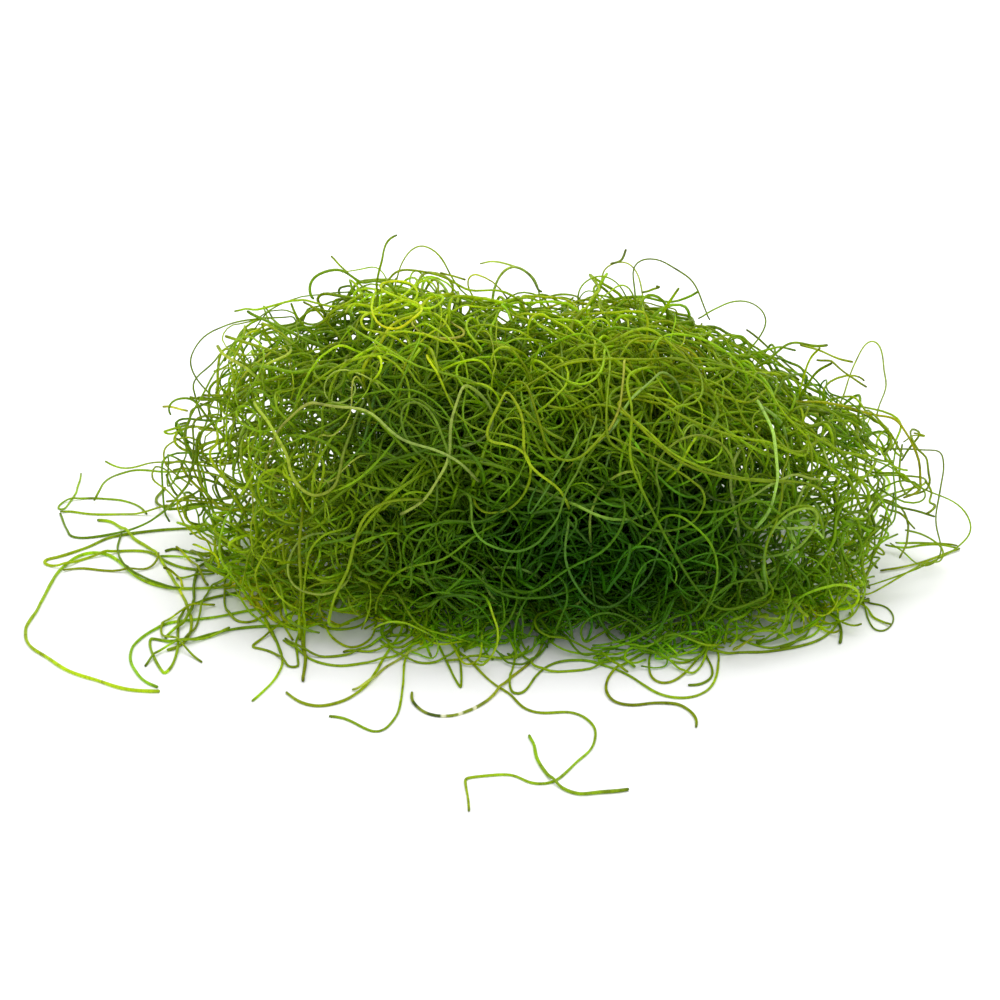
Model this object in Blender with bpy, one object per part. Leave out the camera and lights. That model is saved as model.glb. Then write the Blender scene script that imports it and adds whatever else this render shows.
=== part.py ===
"""Spaghetti algae: a loose heap of long, unbranched, curling green filaments.

The heap lies on a flat surface. Its close tangle is one lumpy solid that reaches
the tips of the filaments inside it, and every filament that stands or trails clear
of the tangle is a tube of its own. All lengths below are in millimetres; they are
turned into metres when the objects are made. +Z is up, -Y faces the viewer, and
the origin is under the middle of the whole heap, on the surface it lies on.
"""

import math

import bmesh
import bpy
import numpy as np

MM = 0.001

# ---- driving dimensions (mm) ------------------------------------------------

MASS_CENTRE_X = 7.0  # middle of the tangle, before the heap is centred
MASS_CENTRE_Y = 9.0
MASS_HALF_LENGTH = 54.8  # left end to right end is twice this
MASS_HALF_DEPTH = 34.0
MASS_WAIST_HEIGHT = 8.0  # the tangle is widest this far above the surface
MASS_END_LIFT = 6.0  # its two ends bulge this much higher than that
MASS_FOOT_TUCK = 7.0  # how far the lower curve would run below the surface
MASS_LUMPS = 0.045  # lumps, as a share of the section's radius
SIDE_POWER = 2.3  # how square a cross-section is, sideways
TOP_POWER = 2.0
MASS_ROUND = 44  # facets round a section
MASS_LONG = 27  # sections from end to end

# the tangle's outline from its left end to its right end, read off the view that is
# described below, as (across, down)
OUTLINE = (
    (165, 480), (172, 440), (190, 412), (205, 405), (225, 345), (250, 315), (300, 298), (340, 272),
    (380, 270), (430, 273), (470, 288), (520, 291), (570, 296), (620, 291), (660, 300), (700, 309),
    (740, 326), (780, 345), (830, 376), (870, 408), (905, 425), (935, 455), (941, 500),
)  # fmt: skip

GAP = 0.3  # between any two pieces
THIN = 0.24  # radii of the filaments
MIDDLING = 0.27
STOUT = 0.31
SEGMENT = 0.25  # spacing of the finely sampled routes
CHORD = 0.2  # how far a facet of a tube may cut inside its curve
CLIMB = 0.3  # steepest rise where one filament passes over another

# The whole heap is moved by this much so that its box is centred on the origin.
SHIFT_X = -0.45
SHIFT_Y = 6.1

# ---- the sight from which the routes are read -------------------------------
# A point of a route is given as (across, down) in thousandths of the width of a
# square view that looks down at the heap from the front. A third number is the
# height in millimetres; without one the filament lies on the surface.

SIGHT_TILT = math.radians(24.5)
SIGHT_DISTANCE = 500.0
SIGHT_LENGTH = 3333.3  # thousandths of the width per unit of slope
SIGHT_AIM_HEIGHT = 14.0


def sight_line(across, down):
    """The eye, and the direction in which this point of the view is seen."""
    c, s = math.cos(SIGHT_TILT), math.sin(SIGHT_TILT)
    eye = np.array([0.0, -SIGHT_DISTANCE * c, SIGHT_AIM_HEIGHT + SIGHT_DISTANCE * s])
    right = (across - 500.0) / SIGHT_LENGTH
    rise = (500.0 - down) / SIGHT_LENGTH
    return eye, np.array([right, c + rise * s, -s + rise * c])


def at_height(across, down, height):
    eye, way = sight_line(across, down)
    return eye + way * ((height - eye[2]) / way[2])


def at_depth(across, down, depth):
    eye, way = sight_line(across, down)
    point = eye + way * ((depth - eye[1]) / way[1])
    point[2] = max(point[2], 0.3)
    return point


# ---- the filaments that leave the tangle ------------------------------------
# name: (radius, tone, lie, points). Lie is "flat" for one that trails over the
# surface, or a pair of depths (mm) between which one that stands up leans. A
# point given twice is a sharp kink. The far side can't be seen from there, so
# the filaments behind the heap are given in plan: (x, y, height) in mm.

FILAMENTS = {
    # trailing to the left
    "filament_left_great_loop": (MIDDLING, "green", "flat", (
        (160, 691), (150, 691), (136, 691), (120, 688), (97, 680), (80, 675), (65, 669),
        (45, 656), (33, 649), (26, 641), (25, 632), (29, 622), (40, 605), (50, 585),
        (57, 574), (65, 566), (73, 559), (82, 554), (92, 552), (103, 553), (115, 558),
        (125, 566), (135, 575), (150, 583), (170, 588), (200, 588), (240, 585), (280, 583))),
    "filament_left_inner_hook": (THIN, "dark", "flat", (
        (158, 687), (150, 684), (142, 679), (135, 671), (130, 663), (130, 655), (134, 645),
        (145, 634), (165, 624), (190, 620), (215, 617), (245, 611), (290, 604))),
    "filament_left_narrow_loop": (THIN, "green", "flat", (
        (240, 530), (200, 528), (160, 530), (122, 535), (110, 537), (100, 541), (90, 546), (82, 549), (70, 553),
        (57, 557), (46, 559), (42, 562), (47, 565), (60, 567), (70, 565), (80, 560), (90, 557),
        (110, 553), (120, 551), (145, 551), (153, 554), (165, 561), (185, 568), (240, 572))),
    "filament_left_far_tip": (THIN, "green", "flat", (
        (81, 473), (80, 482), (76, 492), (70, 502), (63, 510), (58, 509), (59, 506), (66, 501),
        (78, 499), (90, 498), (110, 499), (122, 500), (132, 503), (141, 508), (147, 514))),
    "filament_left_far_curl": (THIN, "dark", "flat", (
        (60, 513), (62, 519), (66, 530), (70, 536), (80, 538), (95, 537), (112, 534),
        (127, 531), (140, 526, 1.0), (150, 521, 2.0), (160, 514, 3.5), (170, 507, 5.0), (200, 490, 8.0))),
    "filament_left_upper_reach": (THIN, "green", "flat", (
        (94, 502), (96, 498, 0.6), (100, 489, 2.5), (108, 480, 5.5), (121, 474, 8.0), (137, 470, 9.5),
        (166, 472, 10.0), (200, 470, 11.0))),
    "filament_left_upper_tip": (THIN, "green", "flat", (
        (105, 461, 10.5), (113, 466, 9.8), (123, 469, 9.6), (137, 467, 10.4), (150, 463, 11.5), (170, 462, 12.5), (205, 462, 13.0))),
    "filament_left_s_bend": (MIDDLING, "green", "flat", (
        (97, 520), (110, 521), (120, 527), (128, 533), (135, 540), (145, 546), (153, 552),
        (161, 561), (170, 574), (177, 586), (184, 598), (188, 608), (191, 620), (190, 632), (185, 641), (176, 648), (167, 650))),
    "filament_left_triangle_kink": (THIN, "dark", "flat", (
        (300, 625), (240, 628), (205, 636), (183, 643), (165, 641), (151, 638), (151, 638), (150, 645), (152, 653), (156, 662), (160, 669), (165, 673),
        (170, 668), (175, 657), (178, 645), (178, 632), (179, 621), (185, 611), (205, 600), (240, 592))),
    "filament_left_cut_tip": (STOUT, "dark", "flat", (
        (165, 638), (170, 633), (176, 630), (185, 624), (191, 614), (194, 602), (194, 590), (196, 577), (203, 565), (230, 550))),

    # trailing to the front left
    "filament_front_left_tip": (MIDDLING, "green", "flat", (
        (252, 701), (258, 696), (265, 689), (273, 681), (279, 672), (283, 663), (283, 654), (279, 645), (272, 635), (265, 620), (268, 600))),
    "filament_front_left_hairpin": (THIN, "green", "flat", (
        (310, 606), (290, 616), (280, 626), (268, 635), (258, 641), (251, 647), (253, 651), (262, 650), (272, 652), (281, 658), (286, 664), (292, 668),
        (297, 666), (297, 655), (296, 645), (300, 633), (312, 620))),
    "filament_front_left_long_arc": (MIDDLING, "green", "flat", (
        (286, 692), (292, 697), (300, 702), (310, 705), (320, 706), (332, 704), (345, 700), (357, 693),
        (366, 686), (372, 678), (378, 669), (383, 660), (389, 650), (400, 636))),
    "filament_front_left_deep_bow": (MIDDLING, "green", "flat", (
        (329, 716), (340, 717), (350, 721), (357, 725), (365, 729), (375, 732), (384, 729), (392, 721), (398, 712),
        (401, 701), (402, 689), (403, 676), (405, 664), (409, 652), (418, 636))),
    "filament_front_left_low_arc": (THIN, "green", "flat", (
        (283, 640), (300, 652), (312, 660), (325, 664), (340, 666), (355, 665), (370, 663), (385, 660), (397, 655), (410, 648), (430, 636))),
    "filament_front_pale_tip": (THIN, "pale", "flat", (
        (352, 690), (360, 689), (367, 685), (375, 678), (384, 669), (395, 662), (405, 656), (420, 648), (440, 638))),

    # trailing to the front
    "filament_front_loose_long": (THIN, "green", "flat", (
        (440, 634), (452, 643), (460, 652), (470, 661), (478, 669), (488, 679), (498, 687), (507, 692), (512, 696), (516, 701),
        (522, 707), (530, 711), (540, 713), (552, 713), (568, 712), (580, 715), (589, 721), (595, 729),
        (595, 738), (592, 747), (586, 754), (578, 760), (570, 768), (562, 776), (553, 782), (542, 784), (530, 783),
        (522, 779), (513, 775), (503, 774), (490, 775), (476, 776), (465, 778), (465, 778), (466, 787), (468, 798), (469, 811))),
    "filament_front_loose_short": (STOUT, "dark", "flat", (
        (529, 735), (533, 745), (537, 757), (542, 767), (548, 775), (555, 782), (563, 788), (572, 792), (581, 794),
        (592, 793), (605, 792), (618, 791), (629, 789))),
    "filament_front_banded": (MIDDLING, "banded", "flat", (
        (548, 622), (545, 634), (542, 645), (537, 655), (528, 664), (518, 672), (508, 680), (498, 690), (488, 700), (475, 708),
        (460, 714), (450, 716), (437, 716), (426, 713), (418, 707), (413, 700), (412, 692))),
    "filament_front_wide_bow": (THIN, "green", "flat", (
        (518, 640), (516, 652), (514, 665), (511, 676), (510, 686), (514, 694), (520, 694), (525, 690), (531, 683), (537, 675), (544, 668), (553, 663),
        (565, 661), (578, 660), (590, 661), (602, 665), (615, 669), (630, 676), (645, 686), (657, 693), (670, 697), (685, 698),
        (699, 695), (709, 689), (715, 680), (718, 668), (718, 656), (714, 644), (705, 630))),
    "filament_front_folded_v": (THIN, "green", "flat", (
        (430, 634), (440, 648), (447, 662), (453, 675), (457, 684), (461, 686), (462, 678), (461, 665), (459, 652), (456, 634))),
    "filament_front_low_bow": (THIN, "dark", "flat", (
        (380, 640), (398, 656), (412, 661), (425, 663), (440, 661), (452, 656), (466, 646), (480, 634))),

    # trailing to the front right
    "filament_front_right_sweep": (MIDDLING, "green", "flat", (
        (696, 727), (696, 720), (692, 713), (686, 708), (678, 704), (666, 703), (650, 703), (638, 705), (627, 705), (617, 703),
        (610, 697), (606, 689), (607, 681), (611, 674), (617, 668), (625, 663), (635, 658), (648, 650), (662, 638))),
    "filament_front_right_ring": (THIN, "green", "flat", (
        (655, 645), (650, 655), (649, 665), (651, 675), (657, 681), (666, 683), (675, 680), (684, 673), (694, 663), (706, 650), (720, 635))),
    "filament_front_right_hook": (THIN, "dark", "flat", (
        (688, 685), (697, 685), (705, 682), (711, 677), (712, 669), (709, 661), (704, 652), (698, 640))),
    "filament_front_right_edge": (MIDDLING, "green", "flat", (
        (690, 640), (704, 650), (722, 654), (740, 652), (760, 652), (780, 650), (800, 646), (816, 641), (828, 633), (836, 623), (838, 612), (832, 600))),
    "filament_right_front_tip": (STOUT, "dark", "flat", (
        (840, 643), (841, 636), (841, 630), (838, 622), (832, 614), (820, 604))),
    "filament_right_small_ring": (THIN, "green", "flat", (
        (862, 600), (866, 611), (870, 621), (875, 629), (881, 632), (887, 630), (892, 625), (894, 618), (891, 611), (885, 606), (877, 604), (868, 603), (858, 596))),

    # standing clear of the right end
    "filament_right_long_bow": (THIN, "green", (8.0, -5.0), (
        (895, 470), (905, 478), (915, 485), (925, 490), (935, 494), (946, 498), (957, 504), (965, 512), (970, 521),
        (971, 530), (967, 538), (959, 545), (949, 553), (940, 558), (930, 563), (918, 568), (903, 574), (885, 581), (868, 586))),
    "filament_right_square_bend": (THIN, "dark", (10.0, 2.0), (
        (860, 440), (875, 447), (890, 449), (910, 449), (925, 450), (940, 450), (942, 452), (943, 460), (944, 468), (942, 478), (940, 490),
        (938, 502), (936, 514), (936, 524), (938, 533), (941, 543), (942, 552), (938, 561), (930, 566), (920, 566), (912, 561), (904, 552), (890, 543))),
    "filament_right_low_trail": (MIDDLING, "green", (6.0, -9.0), (
        (905, 530), (922, 534), (936, 542), (944, 551), (941, 561), (936, 568), (925, 574), (910, 581), (895, 588), (880, 593), (862, 595), (840, 592))),
    "filament_right_small_arch": (THIN, "green", (10.0, 10.0), (
        (903, 446), (908, 438), (913, 434), (920, 435), (926, 439), (928, 445), (923, 452), (912, 458))),
    "filament_right_tall_loop": (THIN, "pale", (15.0, 11.0), (
        (838, 410), (844, 396), (847, 384), (851, 371), (856, 360), (860, 351), (866, 343), (872, 340), (878, 343), (882, 351), (884, 362),
        (885, 373), (887, 383), (885, 393), (881, 401), (878, 409), (876, 420))),

    # standing out of the crown
    "filament_crown_right_stub": (STOUT, "green", (14.0, 14.0), (
        (768, 362), (777, 352), (785, 345), (796, 342), (806, 344), (818, 347), (828, 345))),
    "filament_crown_right_tip": (STOUT, "green", (12.0, 9.0), (
        (806, 388), (811, 379), (818, 371), (825, 367), (832, 363))),
    "filament_crown_right_arch": (THIN, "green", (16.0, 14.0), (
        (698, 320), (709, 312), (720, 307), (728, 303), (737, 301), (746, 301), (754, 304), (761, 309), (766, 317), (766, 326), (761, 335), (752, 348))),
    "filament_crown_great_arch": (THIN, "dark", (14.0, 18.0), (
        (637, 316), (635, 303), (634, 290), (632, 277), (632, 268), (636, 262), (644, 259), (653, 259), (662, 261), (671, 266), (681, 272), (690, 278),
        (696, 286), (700, 296), (704, 308), (710, 322))),
    "filament_crown_short_stub": (STOUT, "green", (12.0, 10.0), (
        (660, 318), (664, 310), (669, 303), (674, 296), (679, 288))),
    "filament_crown_middle_bow": (THIN, "green", (20.0, 20.0), (
        (578, 302), (578, 293), (581, 285), (588, 279), (596, 276), (604, 276), (612, 280), (619, 285), (625, 293), (630, 304))),
    "filament_crown_pale_bow": (THIN, "pale", (26.0, 22.0), (
        (600, 292), (602, 280), (604, 271), (610, 265), (618, 262), (626, 262), (633, 267), (638, 275), (641, 286), (643, 299), (645, 312))),
    "filament_crown_pale_wisp": (THIN, "pale", (26.0, 24.0), (
        (480, 265), (484, 262), (490, 261), (500, 262), (510, 265), (519, 268), (527, 272), (534, 279), (538, 288), (540, 300), (542, 314))),
    "filament_crown_left_arch": (THIN, "green", (16.0, 20.0), (
        (397, 282), (399, 271), (402, 262), (408, 253), (414, 248), (421, 245), (430, 248), (438, 254), (444, 262), (449, 272), (455, 283), (464, 295))),
    "filament_crown_left_spire": (MIDDLING, "dark", (12.0, 8.0), (
        (376, 285), (378, 272), (381, 262), (383, 252), (386, 244), (390, 238), (397, 235))),
    "filament_crown_left_tip": (THIN, "green", (14.0, 18.0), (
        (331, 256), (338, 263), (345, 270), (353, 278), (364, 288), (378, 300))),
    "filament_crown_left_bow": (THIN, "dark", (12.0, 12.0), (
        (314, 306), (311, 296), (310, 286), (314, 278), (322, 273), (332, 270), (342, 270), (351, 276), (362, 284), (374, 297))),

    # standing out of the left shoulder
    "filament_shoulder_wide_arch": (THIN, "dark", (14.0, 6.0), (
        (268, 318), (256, 319), (246, 320), (232, 323), (222, 327), (210, 332), (202, 338), (196, 346), (192, 354),
        (190, 362), (192, 370), (196, 378), (201, 385), (208, 392), (215, 399), (228, 408))),
    "filament_shoulder_cut_tip": (STOUT, "green", (9.0, 6.0), (
        (225, 336), (234, 339), (244, 342), (254, 345), (266, 349))),
    "filament_shoulder_hook": (THIN, "dark", (8.0, 8.0), (
        (171, 417), (168, 410), (169, 404), (175, 399), (183, 398), (191, 399), (197, 404), (203, 412), (212, 424))),
    "filament_shoulder_dark_tip": (STOUT, "dark", (14.0, 12.0), (
        (247, 311), (255, 317), (263, 323), (270, 332), (276, 345))),

    # behind the heap
    "filament_back_left_bow": (THIN, "green", "plan", (
        (-32, 26, 5), (-36, 36, 3), (-39, 44, 1), (-37, 51, 0), (-31, 54, 0), (-25, 52, 0), (-22, 45, 0.6), (-21, 36, 3), (-20, 28, 6))),
    "filament_back_middle_sweep": (MIDDLING, "green", "plan", (
        (-6, 34, 6), (-8, 42, 2.5), (-8, 49, 0.4), (-4, 55, 0), (3, 57, 0), (9, 54, 0), (13, 50, 0), (19, 49, 0), (23, 53, 0))),
    "filament_back_right_bow": (THIN, "dark", "plan", (
        (28, 28, 7), (31, 38, 3), (35, 46, 0.5), (42, 49, 0), (48, 45, 0), (50, 38, 0.4), (47, 28, 4), (43, 22, 8))),
    "filament_back_right_trail": (MIDDLING, "green", "plan", (
        (46, 16, 8), (54, 23, 4), (60, 30, 1), (63, 37, 0), (61, 43, 0), (56, 46, 0))),
    "filament_back_short_tip": (STOUT, "dark", "plan", (
        (-46, 18, 5), (-52, 24, 1.5), (-55, 30, 0), (-54, 35, 0))),
    "filament_back_slope_arch": (THIN, "green", "plan", (
        (-2, 34, 20), (0, 42, 22), (3, 46, 26), (8, 46, 29), (12, 41, 31), (13, 32, 32), (13, 26, 32))),
    "filament_right_back_loop": (THIN, "green", "plan", (
        (50, 8, 8), (60, 13, 9), (66, 18, 8.5), (66, 24, 7), (60, 26, 6.5), (52, 20, 8), (44, 14, 10))),
}  # fmt: skip

TONES = {
    "green": (0.115, 0.215, 0.014, 1.0),
    "dark": (0.040, 0.112, 0.012, 1.0),
    "pale": (0.330, 0.420, 0.150, 1.0),
    "banded": (0.190, 0.260, 0.040, 1.0),
    "tangle": (0.055, 0.118, 0.006, 1.0),
}


# ---- the shape of the tangle ------------------------------------------------


def mass_plan(x):
    """At x: half depth, waist height, how open the section is, and how near the end."""
    t = np.clip(np.abs((np.asarray(x, float) - MASS_CENTRE_X) / MASS_HALF_LENGTH), 0, 1)
    depth = MASS_HALF_DEPTH * (1 - t**2.6) ** (1 / 2.2)
    waist = MASS_WAIST_HEIGHT + MASS_END_LIFT * t**5
    return depth, waist, np.sqrt(1 - t**6), t


def crown_from_outline():
    """The crown's height at stations: each section just touches the line of sight there."""
    stations, heights = [], []
    depths = np.linspace(MASS_CENTRE_Y - MASS_HALF_DEPTH, MASS_CENTRE_Y + MASS_HALF_DEPTH, 137)
    for across, down in OUTLINE:
        sight = np.array([at_depth(across, down, y) for y in depths])
        depth, waist, opening, _ = mass_plan(sight[:, 0])
        off = np.abs(depths - MASS_CENTRE_Y) / np.maximum(depth, 0.1)
        over = (off < 0.97) & (sight[:, 2] > waist)
        if not over.any():
            continue
        room = np.where(over, 1 - off**SIDE_POWER, 1.0)
        above = np.where(over, (sight[:, 2] - waist) / room ** (1 / TOP_POWER), np.inf)
        touch = int(above.argmin())
        if opening[touch] > 0.4:  # nearer the ends the section closes by itself
            stations.append(float(sight[touch, 0]))
            heights.append(float(waist[touch] + above[touch] / opening[touch]))
    return stations, heights


CROWN = crown_from_outline()


def mass_section(x):
    """Half depth, waist height, height above the waist and below it, at x."""
    depth, waist, closing, t = mass_plan(x)
    above = (np.interp(x, *CROWN) - waist) * closing
    low = -MASS_FOOT_TUCK + (waist + MASS_FOOT_TUCK) * t**9
    below = (waist - low) * closing
    return depth, waist, above, below


def lumps(x, angle):
    """Gentle hills and hollows over the tangle."""
    return MASS_LUMPS * (
        0.55 * np.sin(x / 5.3 + 1.3) * np.sin(3 * angle + 0.7)
        + 0.45 * np.sin(x / 8.7 - 0.6) * np.cos(2 * angle - 0.4)
        + 0.35 * np.sin(x / 3.9 + 2.1) * np.cos(5 * angle + 1.9)
    )


def mass_value(points):
    """Under 1 inside the tangle, 1 on its surface, over 1 outside."""
    x, y, z = points[..., 0], points[..., 1], points[..., 2]
    depth, waist, above, below = mass_section(x)
    depth, above, below = (np.maximum(v, 1e-3) for v in (depth, above, below))
    swell = 1 + lumps(x, np.arctan2(z - waist, y - MASS_CENTRE_Y))
    across = np.abs(y - MASS_CENTRE_Y) / depth / swell
    tall = np.where(z > waist, (z - waist) / above, (waist - z) / below) / swell
    beyond = np.abs(x - MASS_CENTRE_X) / MASS_HALF_LENGTH
    value = across**SIDE_POWER + np.abs(tall) ** TOP_POWER
    return np.where(beyond < 1, value, 1 + 20 * (beyond - 1) + value * 0)


def near_mass(points, margin):
    """Is a point inside the tangle, or nearer to it than margin?"""
    near = mass_value(points) < 1
    for i in range(40):
        up = 1 - (i + 0.5) / 20
        turn = i * math.pi * (3 - math.sqrt(5))
        out = math.sqrt(1 - up * up)
        way = np.array([out * math.cos(turn), out * math.sin(turn), up])
        near |= mass_value(points + way * margin) < 1
    return near


# ---- routes -----------------------------------------------------------------


def read_route(lie, points, radius):
    """The route's points in space, and where it has a kink."""
    placed, kinks = [], []
    for i, point in enumerate(points):
        if placed and tuple(point) == tuple(points[i - 1]):
            kinks.append(len(placed) - 1)
            continue
        if lie == "plan":
            placed.append(np.array([point[0], point[1], max(point[2], radius + 0.02)], float))
        elif lie == "flat":
            height = max(point[2] if len(point) > 2 else 0.0, radius + 0.02)
            placed.append(at_height(point[0], point[1], height))
        else:
            share = i / (len(points) - 1)
            placed.append(at_depth(point[0], point[1], lie[0] + (lie[1] - lie[0]) * share))
    return np.array(placed), kinks


def curve_through(points):
    """A smooth curve through the points, sampled every SEGMENT."""
    if len(points) < 3:
        n = max(2, int(np.linalg.norm(points[-1] - points[0]) / SEGMENT))
        return points[0] + (points[-1] - points[0]) * np.linspace(0, 1, n)[:, None]
    ends = [2 * points[0] - points[1], *points, 2 * points[-1] - points[-2]]
    run = []
    for a, b, c, d in zip(ends, ends[1:], ends[2:], ends[3:]):
        ta = 0.0
        tb = ta + math.sqrt(np.linalg.norm(b - a))
        tc = tb + math.sqrt(np.linalg.norm(c - b))
        td = tc + math.sqrt(np.linalg.norm(d - c))
        for t in np.linspace(tb, tc, 16, endpoint=False):
            p = (tb - t) / (tb - ta) * a + (t - ta) / (tb - ta) * b
            q = (tc - t) / (tc - tb) * b + (t - tb) / (tc - tb) * c
            r = (td - t) / (td - tc) * c + (t - tc) / (td - tc) * d
            u = (tc - t) / (tc - ta) * p + (t - ta) / (tc - ta) * q
            v = (td - t) / (td - tb) * q + (t - tb) / (td - tb) * r
            run.append((tc - t) / (tc - tb) * u + (t - tb) / (tc - tb) * v)
    return evenly(np.array([*run, points[-1]]))


def evenly(run):
    length = np.r_[0, np.cumsum(np.linalg.norm(np.diff(run, axis=0), axis=1))]
    n = max(3, round(length[-1] / SEGMENT) + 1)
    at = np.linspace(0, length[-1], n)
    return np.stack([np.interp(at, length, run[:, k]) for k in range(3)], 1)


def eased(run, width):
    """Each sample averaged with its neighbours; both ends stay put."""
    reach = max(1, round(3 * width / SEGMENT))
    weights = np.exp(-0.5 * (np.arange(-reach, reach + 1) * SEGMENT / width) ** 2)
    weights /= weights.sum()
    head = 2 * run[0] - run[reach:0:-1]
    tail = 2 * run[-1] - run[-2 : -reach - 2 : -1]
    if len(head) < reach or len(tail) < reach:
        return run
    long = np.concatenate([head, run, tail])
    return np.stack([np.convolve(long[:, k], weights, "valid") for k in range(3)], 1)


def smooth_route(lie, points, radius):
    placed, kinks = read_route(lie, points, radius)
    cuts = [0, *kinks, len(placed) - 1]
    runs = [eased(curve_through(placed[a : b + 1]), 0.8) for a, b in zip(cuts, cuts[1:])]
    whole = evenly(eased(np.concatenate([runs[0], *[r[1:] for r in runs[1:]]]), 0.3))
    whole[:, 2] = np.maximum(whole[:, 2], radius + 0.02)
    return whole


def raised(run, floor):
    """The run lifted to clear floor, with a gentle climb on both sides."""
    at = np.r_[0, np.cumsum(np.linalg.norm(np.diff(run[:, :2], axis=0), axis=1))]
    need = np.max(floor[None, :] - CLIMB * np.abs(at[:, None] - at[None, :]), axis=1)
    height = np.maximum(run[:, 2], need)
    for _ in range(3):
        soft = np.convolve(np.pad(height, 2, "edge"), np.ones(5) / 5, "valid")
        height = np.maximum(np.maximum(soft, floor), run[:, 2])
    lifted = run.copy()
    lifted[:, 2] = height
    return lifted


def laid_over(run, radius, laid):
    """Passes over every filament already laid, and over itself.

    Returns the lifted run and, for each crossing, the two sample numbers.
    """
    floor = np.full(len(run), -1.0)
    crossings = []
    for name, (other_radius, other) in laid.items():
        clear = radius + other_radius + GAP
        away = np.linalg.norm(run[:, None, :2] - other[None, :, :2], axis=2)
        near = away < clear
        level = np.where(near, other[None, :, 2] + np.sqrt(np.maximum(clear**2 - away**2, 0)), -1.0)
        # one that stands far above or below needs no lift
        level = np.where(np.abs(run[:, None, 2] - other[None, :, 2]) < 2.5, level, -1.0)
        need = level.max(axis=1)
        floor = np.maximum(floor, need)
        crossings += crossings_of(need, away, name)
    clear = 2 * radius + GAP
    away = np.linalg.norm(run[:, None, :2] - run[None, :, :2], axis=2)
    later = np.arange(len(run))[:, None] - np.arange(len(run))[None, :] > 5 / SEGMENT
    level = np.where(
        (away < clear) & later, run[None, :, 2] + np.sqrt(np.maximum(clear**2 - away**2, 0)), -1.0
    )
    need = level.max(axis=1)
    crossings += crossings_of(need, np.where(later, away, 1e9), None)
    return raised(run, np.maximum(floor, need)), crossings


def crossings_of(need, away, name):
    """The middle sample of each stretch that passes over another filament."""
    found = []
    over = np.flatnonzero(need > 0)
    if len(over):
        for stretch in np.split(over, np.flatnonzero(np.diff(over) > 1) + 1):
            best = stretch[away[stretch].min(axis=1).argmin()]
            found.append((int(best), name, int(away[best].argmin())))
    return found


def outside_mass(run, radius):
    """First and last sample of the longest stretch clear of the tangle."""
    free = ~near_mass(run, radius + GAP)
    best, start = (0, 0), None
    for i, clear in enumerate([*free, False]):
        if clear and start is None:
            start = i
        if not clear and start is not None:
            best = max(best, (i - start, start))
            start = None
    return best[1], best[1] + best[0] - 1


def few_points(run, fixed, chord):
    """The fewest samples whose chords stay within chord of the run."""
    keep = sorted({0, len(run) - 1, *fixed})

    def split(a, b):
        if b - a < 2:
            return []
        along = run[b] - run[a]
        length = np.linalg.norm(along)
        offset = run[a + 1 : b] - run[a]
        if length > 1e-9:
            offset = offset - np.outer(offset @ along / length**2, along)
        off = np.linalg.norm(offset, axis=1)
        if off.max() <= chord:
            return []
        middle = a + 1 + int(off.argmax())
        return [*split(a, middle), middle, *split(middle, b)]

    chosen = []
    for a, b in zip(keep, keep[1:]):
        chosen += [a, *split(a, b)]
    return [*chosen, keep[-1]]


def lay_filaments():
    """Every filament's fine route and the samples that a crossing fixes."""
    laid, fixed = {}, {name: set() for name in FILAMENTS}
    for name, (radius, _, lie, points) in FILAMENTS.items():
        run, crossings = laid_over(smooth_route(lie, points, radius), radius, laid)
        laid[name] = (radius, run)
        for here, other, there in crossings:
            fixed[name].add(here)
            fixed[other or name].add(there)
    return laid, fixed


# ---- making the objects -----------------------------------------------------


def finish_of(name, tone):
    material = bpy.data.materials.new(name)
    material.use_nodes = True
    shader = material.node_tree.nodes["Principled BSDF"]
    shader.inputs["Base Color"].default_value = TONES[tone]
    shader.inputs["Roughness"].default_value = 0.36
    shader.inputs["Metallic"].default_value = 0.0
    material.diffuse_color = TONES[tone]
    return material


def make_mass(collection):
    """A ball drawn out from end to end and pressed flat on the surface."""
    ball = bmesh.new()
    bmesh.ops.create_uvsphere(ball, u_segments=MASS_ROUND, v_segments=MASS_LONG, radius=1.0)
    for vertex in ball.verts:
        # the ball's poles become the heap's two ends
        along, out, up = vertex.co.z, vertex.co.x, vertex.co.y
        angle = math.atan2(up, out)
        c, s = math.cos(angle), math.sin(angle)
        x = MASS_CENTRE_X + MASS_HALF_LENGTH * max(-1.0, min(1.0, along))
        depth, waist, above, below = (float(v) for v in mass_section(x))
        y = depth * math.copysign(abs(c) ** (2 / SIDE_POWER), c)
        z = (above if s > 0 else below) * math.copysign(abs(s) ** (2 / TOP_POWER), s)
        swell = 1 + float(lumps(x, math.atan2(z, y)))
        y, z = MASS_CENTRE_Y + y * swell, max(0.0, waist + z * swell)
        vertex.co = ((x + SHIFT_X) * MM, (y + SHIFT_Y) * MM, z * MM)
    bmesh.ops.recalc_face_normals(ball, faces=ball.faces)
    mesh = bpy.data.meshes.new("tangled_mass")
    ball.to_mesh(mesh)
    ball.free()
    mesh.shade_smooth()
    mesh.set_sharp_from_angle(angle=math.radians(50))
    mass = bpy.data.objects.new("tangled_mass", mesh)
    mass.data.materials.append(finish_of("tangled_mass", "tangle"))
    collection.objects.link(mass)
    return mass


def make_filament(collection, name, radius, tone, route):
    curve = bpy.data.curves.new(name, "CURVE")
    curve.dimensions = "3D"
    curve.bevel_depth = radius * MM
    curve.bevel_resolution = 1
    curve.use_fill_caps = True
    spline = curve.splines.new("POLY")
    spline.points.add(len(route) - 1)
    for point, (x, y, z) in zip(spline.points, route):
        point.co = ((x + SHIFT_X) * MM, (y + SHIFT_Y) * MM, z * MM, 1.0)
    spline.use_smooth = True
    filament = bpy.data.objects.new(name, curve)
    filament.data.materials.append(finish_of(name, tone))
    collection.objects.link(filament)
    return filament


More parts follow.
